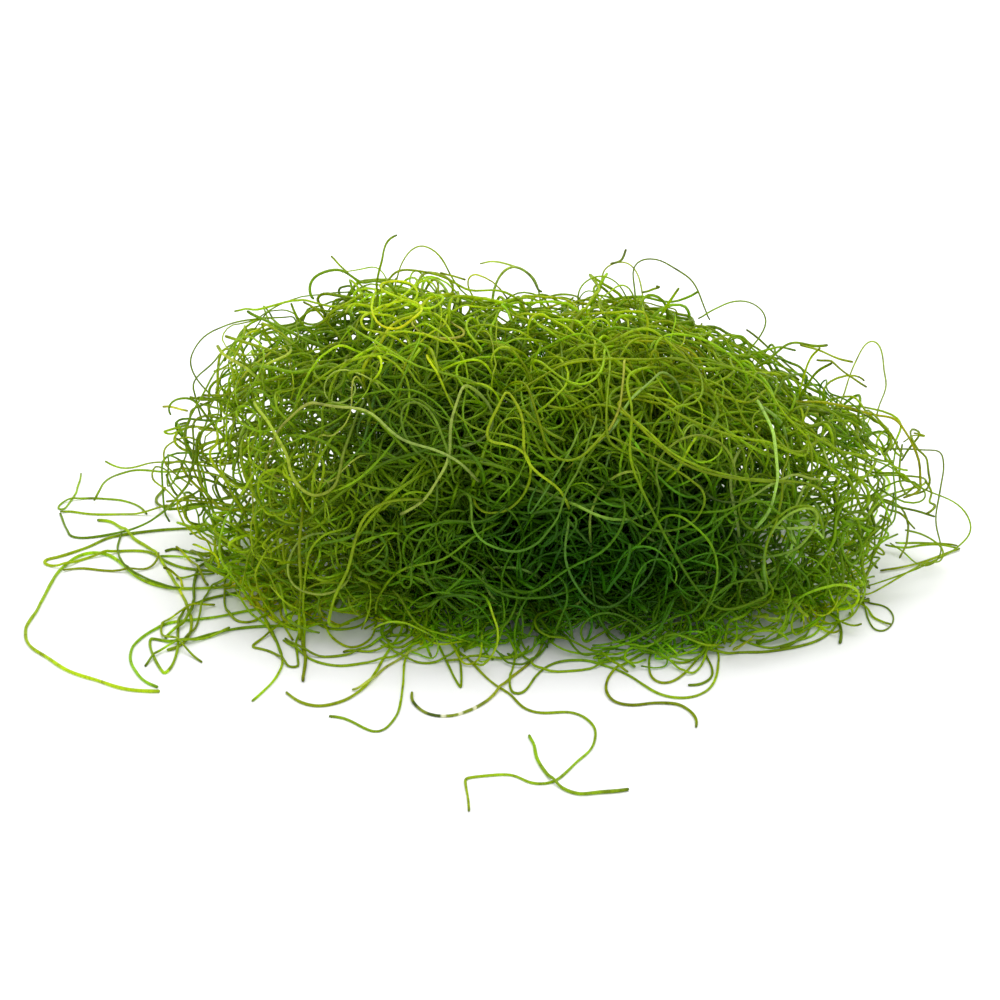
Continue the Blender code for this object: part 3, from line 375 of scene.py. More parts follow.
# Finer ones, which the tangle's edges and skin are full of. "skin" lies on the
# tangle's near side, this far outside it.
STRAYS = {
    "floor_left": ("flat", (
        (THIN, "green", ((63, 571), (70, 569), (85, 568), (100, 570), (115, 571), (125, 571), (140, 570), (150, 568), (157, 563), (159, 558))),
        (THIN, "green", ((60, 512), (70, 511), (82, 513), (95, 514), (110, 514), (125, 514), (147, 514), (175, 512))),
        (THIN, "dark", ((122, 535), (118, 543), (117, 550), (119, 558), (124, 567), (130, 573), (140, 578), (150, 583), (180, 592))),
        (THIN, "dark", ((145, 666), (150, 660), (158, 653), (168, 649), (178, 646), (200, 640), (230, 630))),
        (THIN, "green", ((202, 662), (190, 655), (180, 648), (172, 643), (165, 640), (160, 632), (165, 622), (185, 612), (215, 605))),
        (THIN, "green", ((176, 578), (183, 578), (190, 578), (196, 577), (205, 575), (215, 573))),
        (MIDDLING, "dark", ((165, 551), (170, 549), (177, 549), (184, 551), (191, 553), (200, 554), (208, 557), (215, 562), (222, 566))),
        (MIDDLING, "green", ((176, 549), (182, 552), (188, 557), (193, 563), (197, 569), (202, 577), (206, 584), (208, 588))),
        (THIN, "green", ((160, 556), (168, 556), (177, 556), (185, 558), (193, 560), (203, 561), (213, 563))),
        (MIDDLING, "dark", ((196, 566), (200, 563), (207, 563), (214, 565), (221, 568))),
        (THIN, "green", ((230, 575), (210, 590), (203, 605), (199, 620), (192, 634), (185, 641))),
    )),
    "floor_front_left": ("flat", (
        (STOUT, "green", ((303, 681), (304, 670), (305, 660), (304, 650), (301, 630), (303, 615), (310, 600))),
        (THIN, "green", ((343, 652), (350, 650), (365, 652), (380, 651), (390, 648), (400, 643), (410, 636))),
        (THIN, "green", ((285, 640), (300, 650), (310, 655), (325, 657), (340, 656), (352, 654), (372, 645), (390, 630))),
        (THIN, "dark", ((300, 612), (313, 622), (325, 628), (337, 630), (350, 629), (362, 625), (369, 617), (374, 605), (378, 595))),
        (THIN, "green", ((225, 575), (225, 590), (225, 605), (230, 615), (240, 622), (250, 622), (260, 619), (280, 608))),
        (THIN, "green", ((265, 584), (264, 592), (266, 600), (268, 608), (271, 616), (277, 622))),
        (MIDDLING, "dark", ((276, 572), (274, 581), (274, 590), (277, 599), (281, 605), (286, 608), (293, 609))),
        (THIN, "pale", ((275, 566), (284, 575), (291, 580), (298, 585), (304, 591), (312, 594), (325, 594))),
        (THIN, "dark", ((242, 588), (249, 585), (257, 583), (265, 584), (272, 586), (280, 590))),
        (THIN, "green", ((385, 605), (385, 620), (383, 633), (387, 645), (393, 652), (405, 650), (420, 640))),
        (THIN, "dark", ((415, 612), (406, 618), (396, 624), (391, 630), (392, 636), (399, 638), (406, 634), (408, 627), (404, 622), (396, 616))),
    )),
    "floor_front": ("flat", (
        (THIN, "green", ((515, 630, 3), (515, 641, 1), (519, 651), (528, 661), (541, 670), (554, 672), (570, 671), (582, 670), (593, 668), (606, 663),
            (621, 657, 0.5), (636, 652, 1.2), (652, 644, 2), (668, 639, 3), (685, 631, 4))),
        (THIN, "green", ((459, 639, 1), (469, 643, 0.6), (481, 647), (492, 647), (498, 644, 0.4), (500, 636, 1.5), (503, 628, 3))),
        (THIN, "green", ((464, 652), (470, 646, 0.6), (482, 637, 1.6), (495, 631, 3), (504, 626, 4))),
        (THIN, "dark", ((520, 639, 2), (523, 646, 1), (531, 656), (533, 652, 0.5), (534, 647, 1), (536, 636, 2.5))),
        (THIN, "green", ((551, 642, 1.5), (560, 648, 1), (571, 652, 0.7), (582, 654, 0.6), (592, 654, 0.6), (605, 654, 0.8), (616, 655, 1), (630, 650, 2))),
        (THIN, "green", ((551, 637, 2), (560, 637, 1.8), (571, 640, 1.4), (582, 646, 0.8), (592, 652, 0.3), (606, 660), (618, 668), (628, 674))),
        (THIN, "green", ((646, 660), (640, 664), (634, 669), (627, 670), (623, 667), (627, 662), (636, 657, 0.5), (647, 656, 0.5), (658, 659), (668, 662), (679, 663), (690, 662), (697, 660), (710, 652))),
        (THIN, "green", ((656, 659), (668, 663), (677, 668), (686, 674), (691, 675), (698, 670), (703, 662), (708, 652))),
        (THIN, "dark", ((603, 626, 4), (612, 637, 2), (621, 642, 1.5), (627, 644, 1.5), (640, 644, 2))),
        (THIN, "green", ((591, 648, 1), (605, 648, 1), (619, 647, 1.3), (629, 643, 2), (645, 634, 3.5))),
        (THIN, "green", ((592, 650, 0.6), (614, 651, 0.6), (625, 650, 0.8), (640, 645, 1.5))),
        (THIN, "green", ((653, 656, 0.4), (663, 651, 0.8), (674, 650, 1), (685, 653, 0.6), (694, 656, 0.3), (706, 658), (720, 652))),
        (THIN, "green", ((664, 659), (664, 652, 0.6), (668, 645, 1.4), (676, 640, 2), (690, 640, 2), (700, 645, 1.2), (702, 652, 0.4))),
        (THIN, "green", ((450, 640), (455, 655), (462, 664), (468, 667), (475, 665), (480, 660), (481, 655), (482, 640))),
        (THIN, "dark", ((460, 640), (478, 650), (490, 653), (500, 658), (507, 664), (515, 666), (525, 667), (540, 655), (550, 640))),
        (THIN, "green", ((740, 640), (770, 648), (800, 640), (812, 636), (820, 628), (824, 620), (825, 612), (815, 600))),
        (THIN, "dark", ((780, 650), (800, 640), (808, 632), (812, 615))),
        (THIN, "dark", ((560, 640), (575, 655), (590, 660), (610, 655), (625, 640))),
        (THIN, "green", ((610, 640), (622, 652), (640, 660), (660, 656), (680, 640))),
        (THIN, "green", ((640, 640), (660, 662), (680, 668), (700, 660), (715, 640))),
        (THIN, "green", ((320, 615), (335, 640), (352, 648), (370, 640), (378, 615))),
    )),
    "left_edge": ((8.0, 8.0), (
        (THIN, "green", ((190, 408), (188, 413), (189, 418), (192, 424), (195, 430), (203, 440))),
        (THIN, "pale", ((163, 420), (169, 423), (174, 428), (175, 434), (180, 445), (190, 455))),
        (THIN, "green", ((195, 425), (175, 432), (170, 440), (165, 450), (163, 460), (165, 475), (168, 485), (172, 493), (190, 500))),
        (THIN, "green", ((215, 400), (202, 410), (197, 430), (198, 445), (203, 453), (210, 459), (225, 462))),
        (STOUT, "pale", ((217, 345), (223, 355), (230, 358), (245, 368))),
        (MIDDLING, "green", ((203, 411), (210, 405), (217, 400), (228, 394), (240, 390))),
        (THIN, "dark", ((209, 421), (216, 421), (222, 418), (229, 418), (235, 420), (242, 422), (250, 425))),
        (THIN, "dark", ((200, 418), (205, 422), (209, 426), (214, 429), (223, 430), (232, 430))),
        (THIN, "green", ((190, 428), (187, 432), (185, 438), (184, 444), (183, 450), (182, 457), (181, 463))),
        (THIN, "green", ((166, 474), (168, 480), (171, 486), (174, 492), (178, 498))),
        (THIN, "green", ((176, 438), (182, 442), (187, 446), (192, 450), (196, 454), (200, 457), (207, 460), (213, 462))),
        (MIDDLING, "green", ((181, 463), (184, 471), (188, 477), (192, 482), (198, 488), (205, 493))),
        (THIN, "green", ((166, 469), (173, 466), (180, 464), (187, 467), (191, 471), (194, 477), (198, 481), (203, 486))),
        (THIN, "green", ((224, 441), (217, 444), (210, 448), (204, 452), (199, 456))),
        (THIN, "green", ((226, 446), (218, 449), (211, 452), (205, 455))),
        (MIDDLING, "green", ((222, 446), (217, 454), (212, 461), (208, 467), (206, 474), (204, 482), (204, 492))),
        (THIN, "green", ((219, 452), (215, 459), (212, 465), (209, 473), (208, 481), (207, 490))),
        (THIN, "dark", ((217, 460), (217, 466), (218, 471), (221, 475), (226, 477))),
        (THIN, "dark", ((218, 472), (217, 479), (214, 485), (211, 490))),
        (STOUT, "green", ((228, 446), (227, 458), (227, 470), (228, 482), (228, 494))),
        (MIDDLING, "green", ((233, 440), (232, 455), (231, 470), (232, 485))),
        (THIN, "dark", ((248, 449), (249, 456), (253, 462), (258, 468))),
        (THIN, "green", ((174, 495), (177, 490), (181, 486), (187, 484), (193, 483), (199, 484))),
        (MIDDLING, "dark", ((175, 499), (181, 495), (187, 493), (194, 492), (201, 493), (208, 495))),
        (MIDDLING, "green", ((166, 502), (176, 500), (188, 500), (200, 501), (212, 503))),
        (THIN, "green", ((183, 502), (191, 505), (200, 507), (210, 509))),
        (MIDDLING, "green", ((178, 502), (180, 512), (181, 522), (180, 532), (179, 541), (177, 548))),
        (THIN, "dark", ((204, 508), (201, 515), (198, 521), (197, 528), (197, 535), (198, 543), (199, 550))),
        (MIDDLING, "green", ((212, 510), (213, 520), (213, 531), (212, 541), (213, 549), (216, 557), (221, 563))),
        (MIDDLING, "green", ((215, 530), (217, 538), (219, 545), (222, 551), (227, 556))),
        (THIN, "dark", ((231, 525), (230, 532), (228, 539), (226, 546), (223, 553))),
        (THIN, "green", ((190, 549), (197, 543), (203, 539), (211, 536), (219, 535), (228, 532))),
        (THIN, "green", ((180, 540), (187, 534), (192, 528), (198, 523), (204, 518), (211, 512))),
        (MIDDLING, "dark", ((240, 527), (243, 532), (247, 537), (251, 541), (258, 543), (266, 544), (274, 544))),
        (THIN, "green", ((261, 526), (258, 531), (254, 535), (249, 537))),
        (MIDDLING, "dark", ((262, 525), (261, 533), (260, 541), (257, 548), (254, 556))),
        (MIDDLING, "green", ((262, 509), (269, 513), (274, 519), (278, 527), (280, 536), (279, 546))),
        (STOUT, "green", ((276, 510), (283, 517), (287, 525), (288, 533), (287, 541), (283, 549))),
        (THIN, "dark", ((269, 540), (268, 548), (267, 556))),
    )),
    "crown": ((14.0, 14.0), (
        (THIN, "green", ((291, 303), (293, 310), (297, 318), (303, 325), (308, 330), (318, 340))),
        (THIN, "green", ((303, 302), (312, 306), (318, 311), (322, 316), (330, 328))),
        (THIN, "green", ((235, 335), (256, 315), (270, 308), (285, 303), (292, 303), (310, 306), (330, 316))),
        (THIN, "green", ((380, 292), (396, 271), (410, 270), (425, 272), (440, 275), (452, 281), (460, 286), (467, 291), (480, 291), (495, 290), (508, 293), (525, 305))),
        (THIN, "dark", ((362, 345), (363, 330), (361, 323), (364, 320), (366, 325), (364, 333), (368, 350))),
        (THIN, "green", ((440, 280), (448, 292), (455, 302), (460, 312), (464, 320), (466, 335))),
        (THIN, "green", ((641, 320), (651, 303), (651, 295), (651, 288), (654, 286), (658, 289), (661, 296), (661, 303), (658, 309), (655, 325))),
        (THIN, "green", ((738, 385), (745, 367), (749, 360), (754, 357), (762, 356), (770, 358), (778, 362), (795, 375))),
    )),
    "crown_back": ((24.0, 24.0), (
        (THIN, "pale", ((492, 302), (493, 289), (497, 279), (503, 271), (511, 266), (518, 267), (527, 272), (534, 280), (538, 290), (540, 300), (542, 318))),
        (THIN, "pale", ((610, 285), (618, 275), (622, 262), (625, 254), (626, 249))),
    )),
    "right_end": ((12.0, 4.0), (
        (THIN, "green", ((800, 345), (819, 350), (830, 355), (840, 359), (853, 362))),
        (THIN, "green", ((800, 390), (806, 369), (810, 360), (815, 353), (820, 348))),
        (THIN, "dark", ((815, 400), (820, 386), (826, 379), (832, 378), (837, 385), (842, 395), (850, 402), (857, 410), (865, 425))),
        (MIDDLING, "green", ((838, 405), (857, 410), (868, 414), (880, 416), (892, 417), (900, 423), (906, 432), (911, 440), (915, 450), (919, 462), (920, 480), (920, 500), (917, 520), (913, 538), (900, 555))),
        (THIN, "green", ((855, 455), (870, 463), (876, 470), (879, 480), (878, 490), (870, 505))),
        (THIN, "green", ((880, 440), (888, 455), (893, 466), (900, 476), (908, 486), (914, 493), (915, 500), (911, 507), (908, 509), (895, 515))),
        (THIN, "green", ((860, 515), (880, 512), (895, 511), (905, 516), (915, 530))),
        (THIN, "dark", ((860, 495), (875, 497), (885, 502), (897, 507), (908, 509), (918, 511), (935, 517))),
        (THIN, "green", ((865, 470), (883, 477), (895, 484), (905, 490), (912, 491), (920, 500))),
        (MIDDLING, "green", ((925, 480), (933, 493), (929, 500), (930, 507), (934, 514), (935, 517), (925, 530))),
        (THIN, "green", ((885, 545), (905, 548), (920, 545), (940, 545), (957, 548))),
        (THIN, "green", ((895, 550), (920, 550), (940, 552), (957, 550))),
        (THIN, "green", ((960, 549), (950, 553), (940, 557), (930, 562), (918, 566), (902, 573), (880, 575))),
    )),
    "right_floor": ("flat", (
        (THIN, "green", ((855, 600), (868, 611), (873, 618), (880, 621), (887, 624), (891, 626))),
    )),
    "skin": (0.0, (
        (MIDDLING, "pale", ((314, 403), (328, 406), (340, 409), (354, 407), (367, 409), (378, 418), (392, 434), (411, 444), (427, 446), (443, 452), (448, 455))),
        (THIN, "blue", ((403, 433), (399, 420), (400, 406), (408, 399), (421, 402), (432, 412), (440, 430), (446, 446))),
        (MIDDLING, "yellow", ((503, 444), (490, 444), (482, 441), (484, 434), (491, 420), (500, 402), (506, 390), (506, 390), (514, 399), (521, 412), (524, 427), (523, 443), (525, 462), (539, 474))),
        (THIN, "green", ((529, 388), (539, 421), (549, 454), (564, 463), (583, 457), (597, 441))),
        (THIN, "green", ((578, 334), (597, 338), (609, 351), (610, 366), (609, 380), (607, 405), (607, 429))),
        (THIN, "green", ((604, 351), (604, 366), (599, 378), (590, 385), (581, 387), (571, 384), (563, 380), (543, 363))),
        (THIN, "pale", ((624, 363), (623, 380), (620, 406))),
        (THIN, "green", ((583, 361), (600, 359), (616, 359), (646, 360), (665, 358), (685, 358), (700, 373))),
        (THIN, "pale", ((660, 373), (646, 386), (632, 399))),
        (THIN, "green", ((616, 408), (639, 423), (655, 438), (672, 454), (700, 467), (731, 477), (755, 480), (781, 481))),
        (THIN, "green", ((616, 439), (632, 447), (647, 454), (664, 463), (680, 472), (700, 487))),
        (THIN, "green", ((653, 396), (668, 408), (681, 416), (711, 429), (729, 435), (746, 439), (766, 441))),
        (THIN, "green", ((665, 358), (690, 361), (698, 366), (702, 375), (705, 390), (701, 400), (694, 405), (680, 406))),
        (THIN, "green", ((708, 363), (724, 366), (740, 370), (755, 376), (766, 384), (781, 409), (795, 425), (806, 436))),
        (STOUT, "pale", ((773, 433), (775, 450), (777, 476))),
        (THIN, "pale", ((784, 479), (788, 474), (796, 472), (807, 477))),
        (THIN, "green", ((736, 507), (748, 499), (757, 498), (766, 501), (773, 506), (778, 512))),
        (THIN, "green", ((781, 516), (784, 510), (790, 507), (806, 505), (815, 505), (820, 509), (819, 516))),
        (THIN, "blue", ((678, 441), (683, 437), (690, 434), (698, 433), (706, 434), (718, 441))),
        (THIN, "blue", ((486, 544), (496, 549), (507, 552), (517, 554), (525, 552), (533, 548), (539, 542))),
        (THIN, "blue", ((566, 540), (563, 550), (564, 560), (567, 570), (572, 582), (582, 595))),
        (THIN, "green", ((546, 585), (555, 577), (566, 570), (579, 563), (600, 556), (608, 549), (614, 540))),
        (THIN, "dark", ((412, 581), (410, 573), (411, 562), (414, 551), (421, 540))),
        (THIN, "green", ((427, 563), (439, 563), (448, 559), (454, 554), (464, 545))),
        (THIN, "green", ((486, 585), (496, 592), (507, 597), (516, 599), (525, 599), (538, 598), (550, 597))),
        (THIN, "green", ((584, 642), (580, 636), (579, 628), (583, 621), (590, 616), (598, 612), (607, 611), (617, 613), (625, 617), (636, 625), (646, 635))),
        (THIN, "green", ((555, 633), (557, 624), (561, 617), (566, 604))),
        (THIN, "green", ((689, 522), (700, 529), (708, 538), (715, 551), (719, 569), (717, 584), (712, 598), (706, 612))),
        (THIN, "green", ((706, 612), (712, 600), (723, 587), (734, 582), (746, 579), (763, 581))),
        (THIN, "green", ((777, 524), (770, 533), (766, 545), (764, 556), (764, 568), (767, 578), (773, 589))),
        (THIN, "green", ((235, 588), (240, 598), (247, 608), (258, 619), (270, 629), (281, 654))),
        (THIN, "green", ((242, 588), (252, 602), (265, 618), (276, 640), (283, 661))),
        (THIN, "green", ((255, 575), (258, 590), (266, 607), (280, 622), (293, 640))),
        (STOUT, "green", ((299, 551), (300, 570), (301, 594), (298, 620), (300, 640))),
        (THIN, "green", ((307, 560), (305, 580), (303, 605), (305, 630), (304, 650))),
        (STOUT, "green", ((345, 576), (338, 588), (333, 602), (329, 620))),
        (THIN, "pale", ((300, 590), (308, 593), (319, 595))),
        (MIDDLING, "green", ((640, 369), (631, 369), (627, 375), (626, 391), (631, 398), (632, 430), (629, 455), (637, 482), (650, 507), (663, 533), (679, 562), (691, 581), (707, 601), (723, 611), (742, 608), (765, 597))),
        (MIDDLING, "green", ((627, 414), (643, 430), (666, 452), (691, 468), (723, 477), (755, 481), (781, 482))),
        (STOUT, "pale", ((258, 409), (268, 420), (277, 436), (289, 455), (290, 470))),
        (STOUT, "pale", ((461, 391), (457, 402), (453, 415))),
        (MIDDLING, "blue", ((800, 546), (814, 530), (820, 514), (816, 507), (793, 511), (777, 523), (766, 542), (763, 568), (766, 584))),
    )),
}  # fmt: skip


def read_route(lie, points, radius):
    """The route's points in space, and where it has a kink."""
    placed, kinks = [], []
    for i, point in enumerate(points):
        if placed and tuple(point) == tuple(points[i - 1]):
            kinks.append(len(placed) - 1)
            continue
        if lie == "plan":
            placed.append(np.array([point[0], point[1], max(point[2], radius + 0.02)], float))
        elif lie == "flat":
            height = max(point[2] if len(point) > 2 else 0.0, radius + 0.02)
            placed.append(at_height(point[0], point[1], height))
        elif isinstance(lie, float):
            placed.append(at_skin(point[0], point[1], lie))
        else:
            share = i / (len(points) - 1)
            placed.append(at_depth(point[0], point[1], lie[0] + (lie[1] - lie[0]) * share))
    return np.array(placed), kinks


def curve_through(points):
    """A smooth curve through the points, sampled every SEGMENT."""
    if len(points) < 3:
        n = max(2, int(np.linalg.norm(points[-1] - points[0]) / SEGMENT))
        return points[0] + (points[-1] - points[0]) * np.linspace(0, 1, n)[:, None]
    ends = [2 * points[0] - points[1], *points, 2 * points[-1] - points[-2]]
    run = []
    for a, b, c, d in zip(ends, ends[1:], ends[2:], ends[3:]):
        ta = 0.0
        tb = ta + math.sqrt(np.linalg.norm(b - a))
        tc = tb + math.sqrt(np.linalg.norm(c - b))
        td = tc + math.sqrt(np.linalg.norm(d - c))
        for t in np.linspace(tb, tc, 16, endpoint=False):
            p = (tb - t) / (tb - ta) * a + (t - ta) / (tb - ta) * b
            q = (tc - t) / (tc - tb) * b + (t - tb) / (tc - tb) * c
            r = (td - t) / (td - tc) * c + (t - tc) / (td - tc) * d
            u = (tc - t) / (tc - ta) * p + (t - ta) / (tc - ta) * q
            v = (td - t) / (td - tb) * q + (t - tb) / (td - tb) * r
            run.append((tc - t) / (tc - tb) * u + (t - tb) / (tc - tb) * v)
    return evenly(np.array([*run, points[-1]]))


def evenly(run, spacing=SEGMENT):
    length = np.r_[0, np.cumsum(np.linalg.norm(np.diff(run, axis=0), axis=1))]
    n = max(3, round(length[-1] / spacing) + 1)
    at = np.linspace(0, length[-1], n)
    return np.stack([np.interp(at, length, run[:, k]) for k in range(3)], 1)


def eased(run, width):
    """Each sample averaged with its neighbours; both ends stay put."""
    reach = max(1, round(3 * width / SEGMENT))
    weights = np.exp(-0.5 * (np.arange(-reach, reach + 1) * SEGMENT / width) ** 2)
    weights /= weights.sum()
    head = 2 * run[0] - run[reach:0:-1]
    tail = 2 * run[-1] - run[-2 : -reach - 2 : -1]
    if len(head) < reach or len(tail) < reach:
        return run
    long = np.concatenate([head, run, tail])
    return np.stack([np.convolve(long[:, k], weights, "valid") for k in range(3)], 1)


def smooth_route(lie, points, radius):
    placed, kinks = read_route(lie, points, radius)
    cuts = [0, *kinks, len(placed) - 1]
    soft = 1.6 if isinstance(lie, float) else 0.6
    runs = [eased(curve_through(placed[a : b + 1]), soft) for a, b in zip(cuts, cuts[1:])]
    whole = evenly(eased(np.concatenate([runs[0], *[r[1:] for r in runs[1:]]]), 0.3))
    whole[:, 2] = np.maximum(whole[:, 2], radius + 0.02)
    return whole


def raised(run, floor):
    """The run lifted to clear floor, with a gentle climb on both sides."""
    at = np.r_[0, np.cumsum(np.linalg.norm(np.diff(run[:, :2], axis=0), axis=1))]
    need = np.max(floor[None, :] - CLIMB * np.abs(at[:, None] - at[None, :]), axis=1)
    height = np.maximum(run[:, 2], need)
    for _ in range(3):
        soft = np.convolve(np.pad(height, 2, "edge"), np.ones(5) / 5, "valid")
        height = np.maximum(np.maximum(soft, floor), run[:, 2])
    lifted = run.copy()
    lifted[:, 2] = height
    return lifted


def laid_over(run, radius, laid, gap):
    """Passes over every filament already laid, and over itself."""
    floor = np.full(len(run), -1.0)
    for other_radius, other in laid:
        clear = radius + other_radius + gap
        if (other.max(0) + clear < run.min(0)).any() or (other.min(0) - clear > run.max(0)).any():
            continue
        away = np.linalg.norm(run[:, None, :2] - other[None, :, :2], axis=2)
        near = (away < clear) & (np.abs(run[:, None, 2] - other[None, :, 2]) < 2.5)
        level = np.where(near, other[None, :, 2] + np.sqrt(np.maximum(clear**2 - away**2, 0)), -1.0)
        floor = np.maximum(floor, level.max(axis=1))
    clear = 2 * radius + gap
    away = np.linalg.norm(run[:, None, :2] - run[None, :, :2], axis=2)
    later = np.arange(len(run))[:, None] - np.arange(len(run))[None, :] > 5 / SEGMENT
    level = np.where((away < clear) & later, run[None, :, 2] + np.sqrt(np.maximum(clear**2 - away**2, 0)), -1.0)
    return raised(run, np.maximum(floor, level.max(axis=1)))


# ---- growing the tangle -------------------------------------------------------

STEP = 0.6
TANGLE = 800  # filaments
CORE = 260  # stouter ones that never come near the skin
EDGE = 84  # more open ones at the two ends
CROWN_COUNT = 200  # short ones that fill the crown
FLUFF = 130  # short ones that stand a little out of the skin
FRINGE = 330  # short ones round the foot of the heap


def grow(start, heading, length, room, curl, brink=0.7, turning=0.27, flat=None, shyness=1.0):
    """Runs that wander inside the outline from start, all of them step by step.

    room is how far out of the outline each may stray, and curl its usual bend's
    radius. A run is turned back near the outline, from brink on, by up to turning,
    and near the surface below. flat is how strongly it is kept lying on the surface.
    """
    count = len(start)
    position, way = start.copy(), unit(heading)
    bend = np.cross(way, unit(rng.normal(size=(count, 3)))) / curl[:, None]
    keep = rng.uniform(5.0, 14.0, count)[:, None]
    shy = shyness * rng.uniform(0.2, 1.8, count)
    path = [position.copy()]
    for _ in range(int(length.max() / STEP)):
        value, outward = value_and_outward(position, room, shy)
        kick = rng.normal(size=(count, 3)) / curl[:, None]
        bend = bend * (1 - STEP / keep) + np.sqrt(2 * STEP / keep) * 0.85 * kick
        # now and then a sharper hook
        hook = rng.random(count) < STEP / 55.0
        bend = np.where(hook[:, None], unit(rng.normal(size=(count, 3))) * 0.55, bend)
        if flat is not None:
            bend[:, 2] *= 1 - 0.5 * flat
        bend -= (bend * way).sum(1, keepdims=True) * way
        size = np.linalg.norm(bend, axis=1, keepdims=True)
        bend *= np.minimum(1, 0.5 / np.maximum(size, 1e-6))
        leaving = (way * outward).sum(1)
        press = np.clip((value - brink) / (1 - brink), 0, 1.7) * np.clip(leaving + 0.35, 0, 1.35)
        press += 1.2 * np.clip((value - 1.1) / 0.3, 0, 1) * np.clip(leaving + 0.8, 0, 1.5)
        turn = -outward * (turning * press)[:, None]
        sinking = np.clip((1.8 - position[:, 2]) / 1.5, 0, 1) * np.clip(0.25 - way[:, 2], 0, 1.2)
        turn[:, 2] += 0.38 * sinking
        if flat is not None:
            turn[:, 2] -= flat * (0.10 * np.clip(position[:, 2] - 0.6, 0, 4) + 0.5 * np.clip(way[:, 2], -0.2, 1))
        turn -= (turn * way).sum(1, keepdims=True) * way
        size = np.linalg.norm(bend, axis=1, keepdims=True)
        way = unit(way + (bend + turn) * STEP)
        bend -= (bend * way).sum(1, keepdims=True) * way
        bend = unit(bend) * size
        position = position + way * STEP
        position[:, 2] = np.maximum(position[:, 2], 0.27)
        path.append(position.copy())
    path = np.stack(path, 1)
    return [run[: max(4, int(n / STEP))] for run, n in zip(path, length)]


def kept_in(runs, most):
    """Each run's longest stretch that stays under this value of the outline."""
    kept = []
    for run in runs:
        out = np.flatnonzero(mass_value(run) > most)
        edges = np.r_[-1, out, len(run)]
        i = int(np.diff(edges).argmax())
        if edges[i + 1] - edges[i] > 14:
            kept.append(run[edges[i] + 1 : edges[i + 1]])
    return kept


def hollowed(strands, least):
    """The strands without the stretches that nobody can see, deep in the tangle."""
    shown = []
    for s in strands:
        deep = np.flatnonzero(mass_value(s.run) < least)
        edges = np.r_[-1, deep, len(s.run)]
        for a, b in zip(edges, edges[1:]):
            if b - a > 14:
                shown.append(Strand(s.run[a + 1 : b], s.radius, s.tone, 1.0))
    return shown


def points_inside(count, room):
    """Places spread evenly through the outline, a little closer low down."""
    found = []
    while len(found) < count:
        p = np.array([rng.uniform(-52, 66), rng.uniform(-28, 46), rng.uniform(0.5, 48)])
        if mass_value(p, room) < 0.9 and rng.random() < math.exp(-p[2] / 70 - 2 * max(fewer(p[None])[0][0], 0)):
            found.append(p)
    return np.array(found)


def points_near_skin(count, inner, outer, floor):
    """Places spread over the outline's skin, between two of its values."""
    found = []
    while len(found) < count:
        p = np.array([rng.uniform(-54, 68), rng.uniform(-30, 48), rng.uniform(floor, 50)])
        if inner < mass_value(p) < outer:
            found.append(p)
    return np.array(found)


def seen(points):
    """Where points appear from the sight: across, down, and how far away."""
    c, r = math.cos(SIGHT_TILT), math.sin(SIGHT_TILT)
    off = points - sight_line(500, 500)[0]
    far = off[:, 1] * c - off[:, 2] * r
    rise = off[:, 1] * r + off[:, 2] * c
    return 500 + SIGHT_LENGTH * off[:, 0] / far, 500 - SIGHT_LENGTH * rise / far, far


# the larger openings that the view shows, as (across, down) and half sizes: nothing
# crosses the widest ones, along the foot, and filaments pass round the others
WIDE_OPENINGS = ((343, 620, 20, 7), (347, 640, 35, 10), (567, 645, 15, 5), (606, 637, 15, 9))
OPENINGS = (
    (400, 628, 8, 4), (416, 638, 9, 4), (441, 620, 4, 6), (457, 626, 6, 6), (466, 620, 4, 8), (491, 638, 8, 6),
    (505, 639, 6, 9), (525, 632, 5, 7), (654, 650, 5, 4), (213, 408, 7, 5), (210, 440, 12, 9), (219, 424, 6, 4),
    (196, 473, 7, 8), (213, 478, 3, 8), (220, 481, 5, 7), (254, 456, 5, 6), (248, 529, 5, 5), (245, 542, 8, 8),
    (266, 539, 4, 3), (262, 552, 7, 5), (241, 565, 9, 3), (205, 545, 5, 9), (206, 528, 6, 8), (191, 515, 8, 10),
    (219, 524, 4, 5), (256, 594, 8, 7), (269, 592, 3, 6), (232, 602, 6, 11), (217, 602, 8, 12),
    (313, 315, 13, 11), (287, 318, 13, 9), (345, 286, 7, 7), (366, 322, 8, 8), (346, 320, 5, 6), (408, 307, 5, 5),
    (383, 309, 5, 4), (453, 307, 5, 8), (431, 300, 4, 6), (466, 310, 5, 6), (481, 325, 4, 5), (503, 317, 7, 11),
    (517, 308, 5, 5), (395, 341, 4, 3), (375, 385, 3, 4), (337, 397, 4, 3), (682, 312, 4, 4), (695, 309, 5, 4),
    (627, 315, 4, 4), (651, 333, 3, 4), (677, 340, 3, 4), (710, 325, 3, 4), (740, 322, 8, 7), (738, 341, 6, 5),
    (756, 344, 5, 3), (768, 367, 6, 5), (785, 383, 5, 5), (813, 420, 8, 9), (850, 427, 7, 8), (835, 388, 8, 7),
    (880, 440, 9, 7), (835, 462, 4, 5), (678, 363, 4, 4),
)  # fmt: skip
# where small ones are scattered: across from, to; down from, to; how many
OPEN_REGIONS = (
    (240, 340, 330, 400, 14), (350, 480, 285, 345, 14), (480, 620, 298, 335, 12), (620, 720, 305, 350, 10),
    (720, 860, 350, 450, 16), (230, 300, 400, 560, 12), (850, 930, 440, 570, 12),
)  # fmt: skip


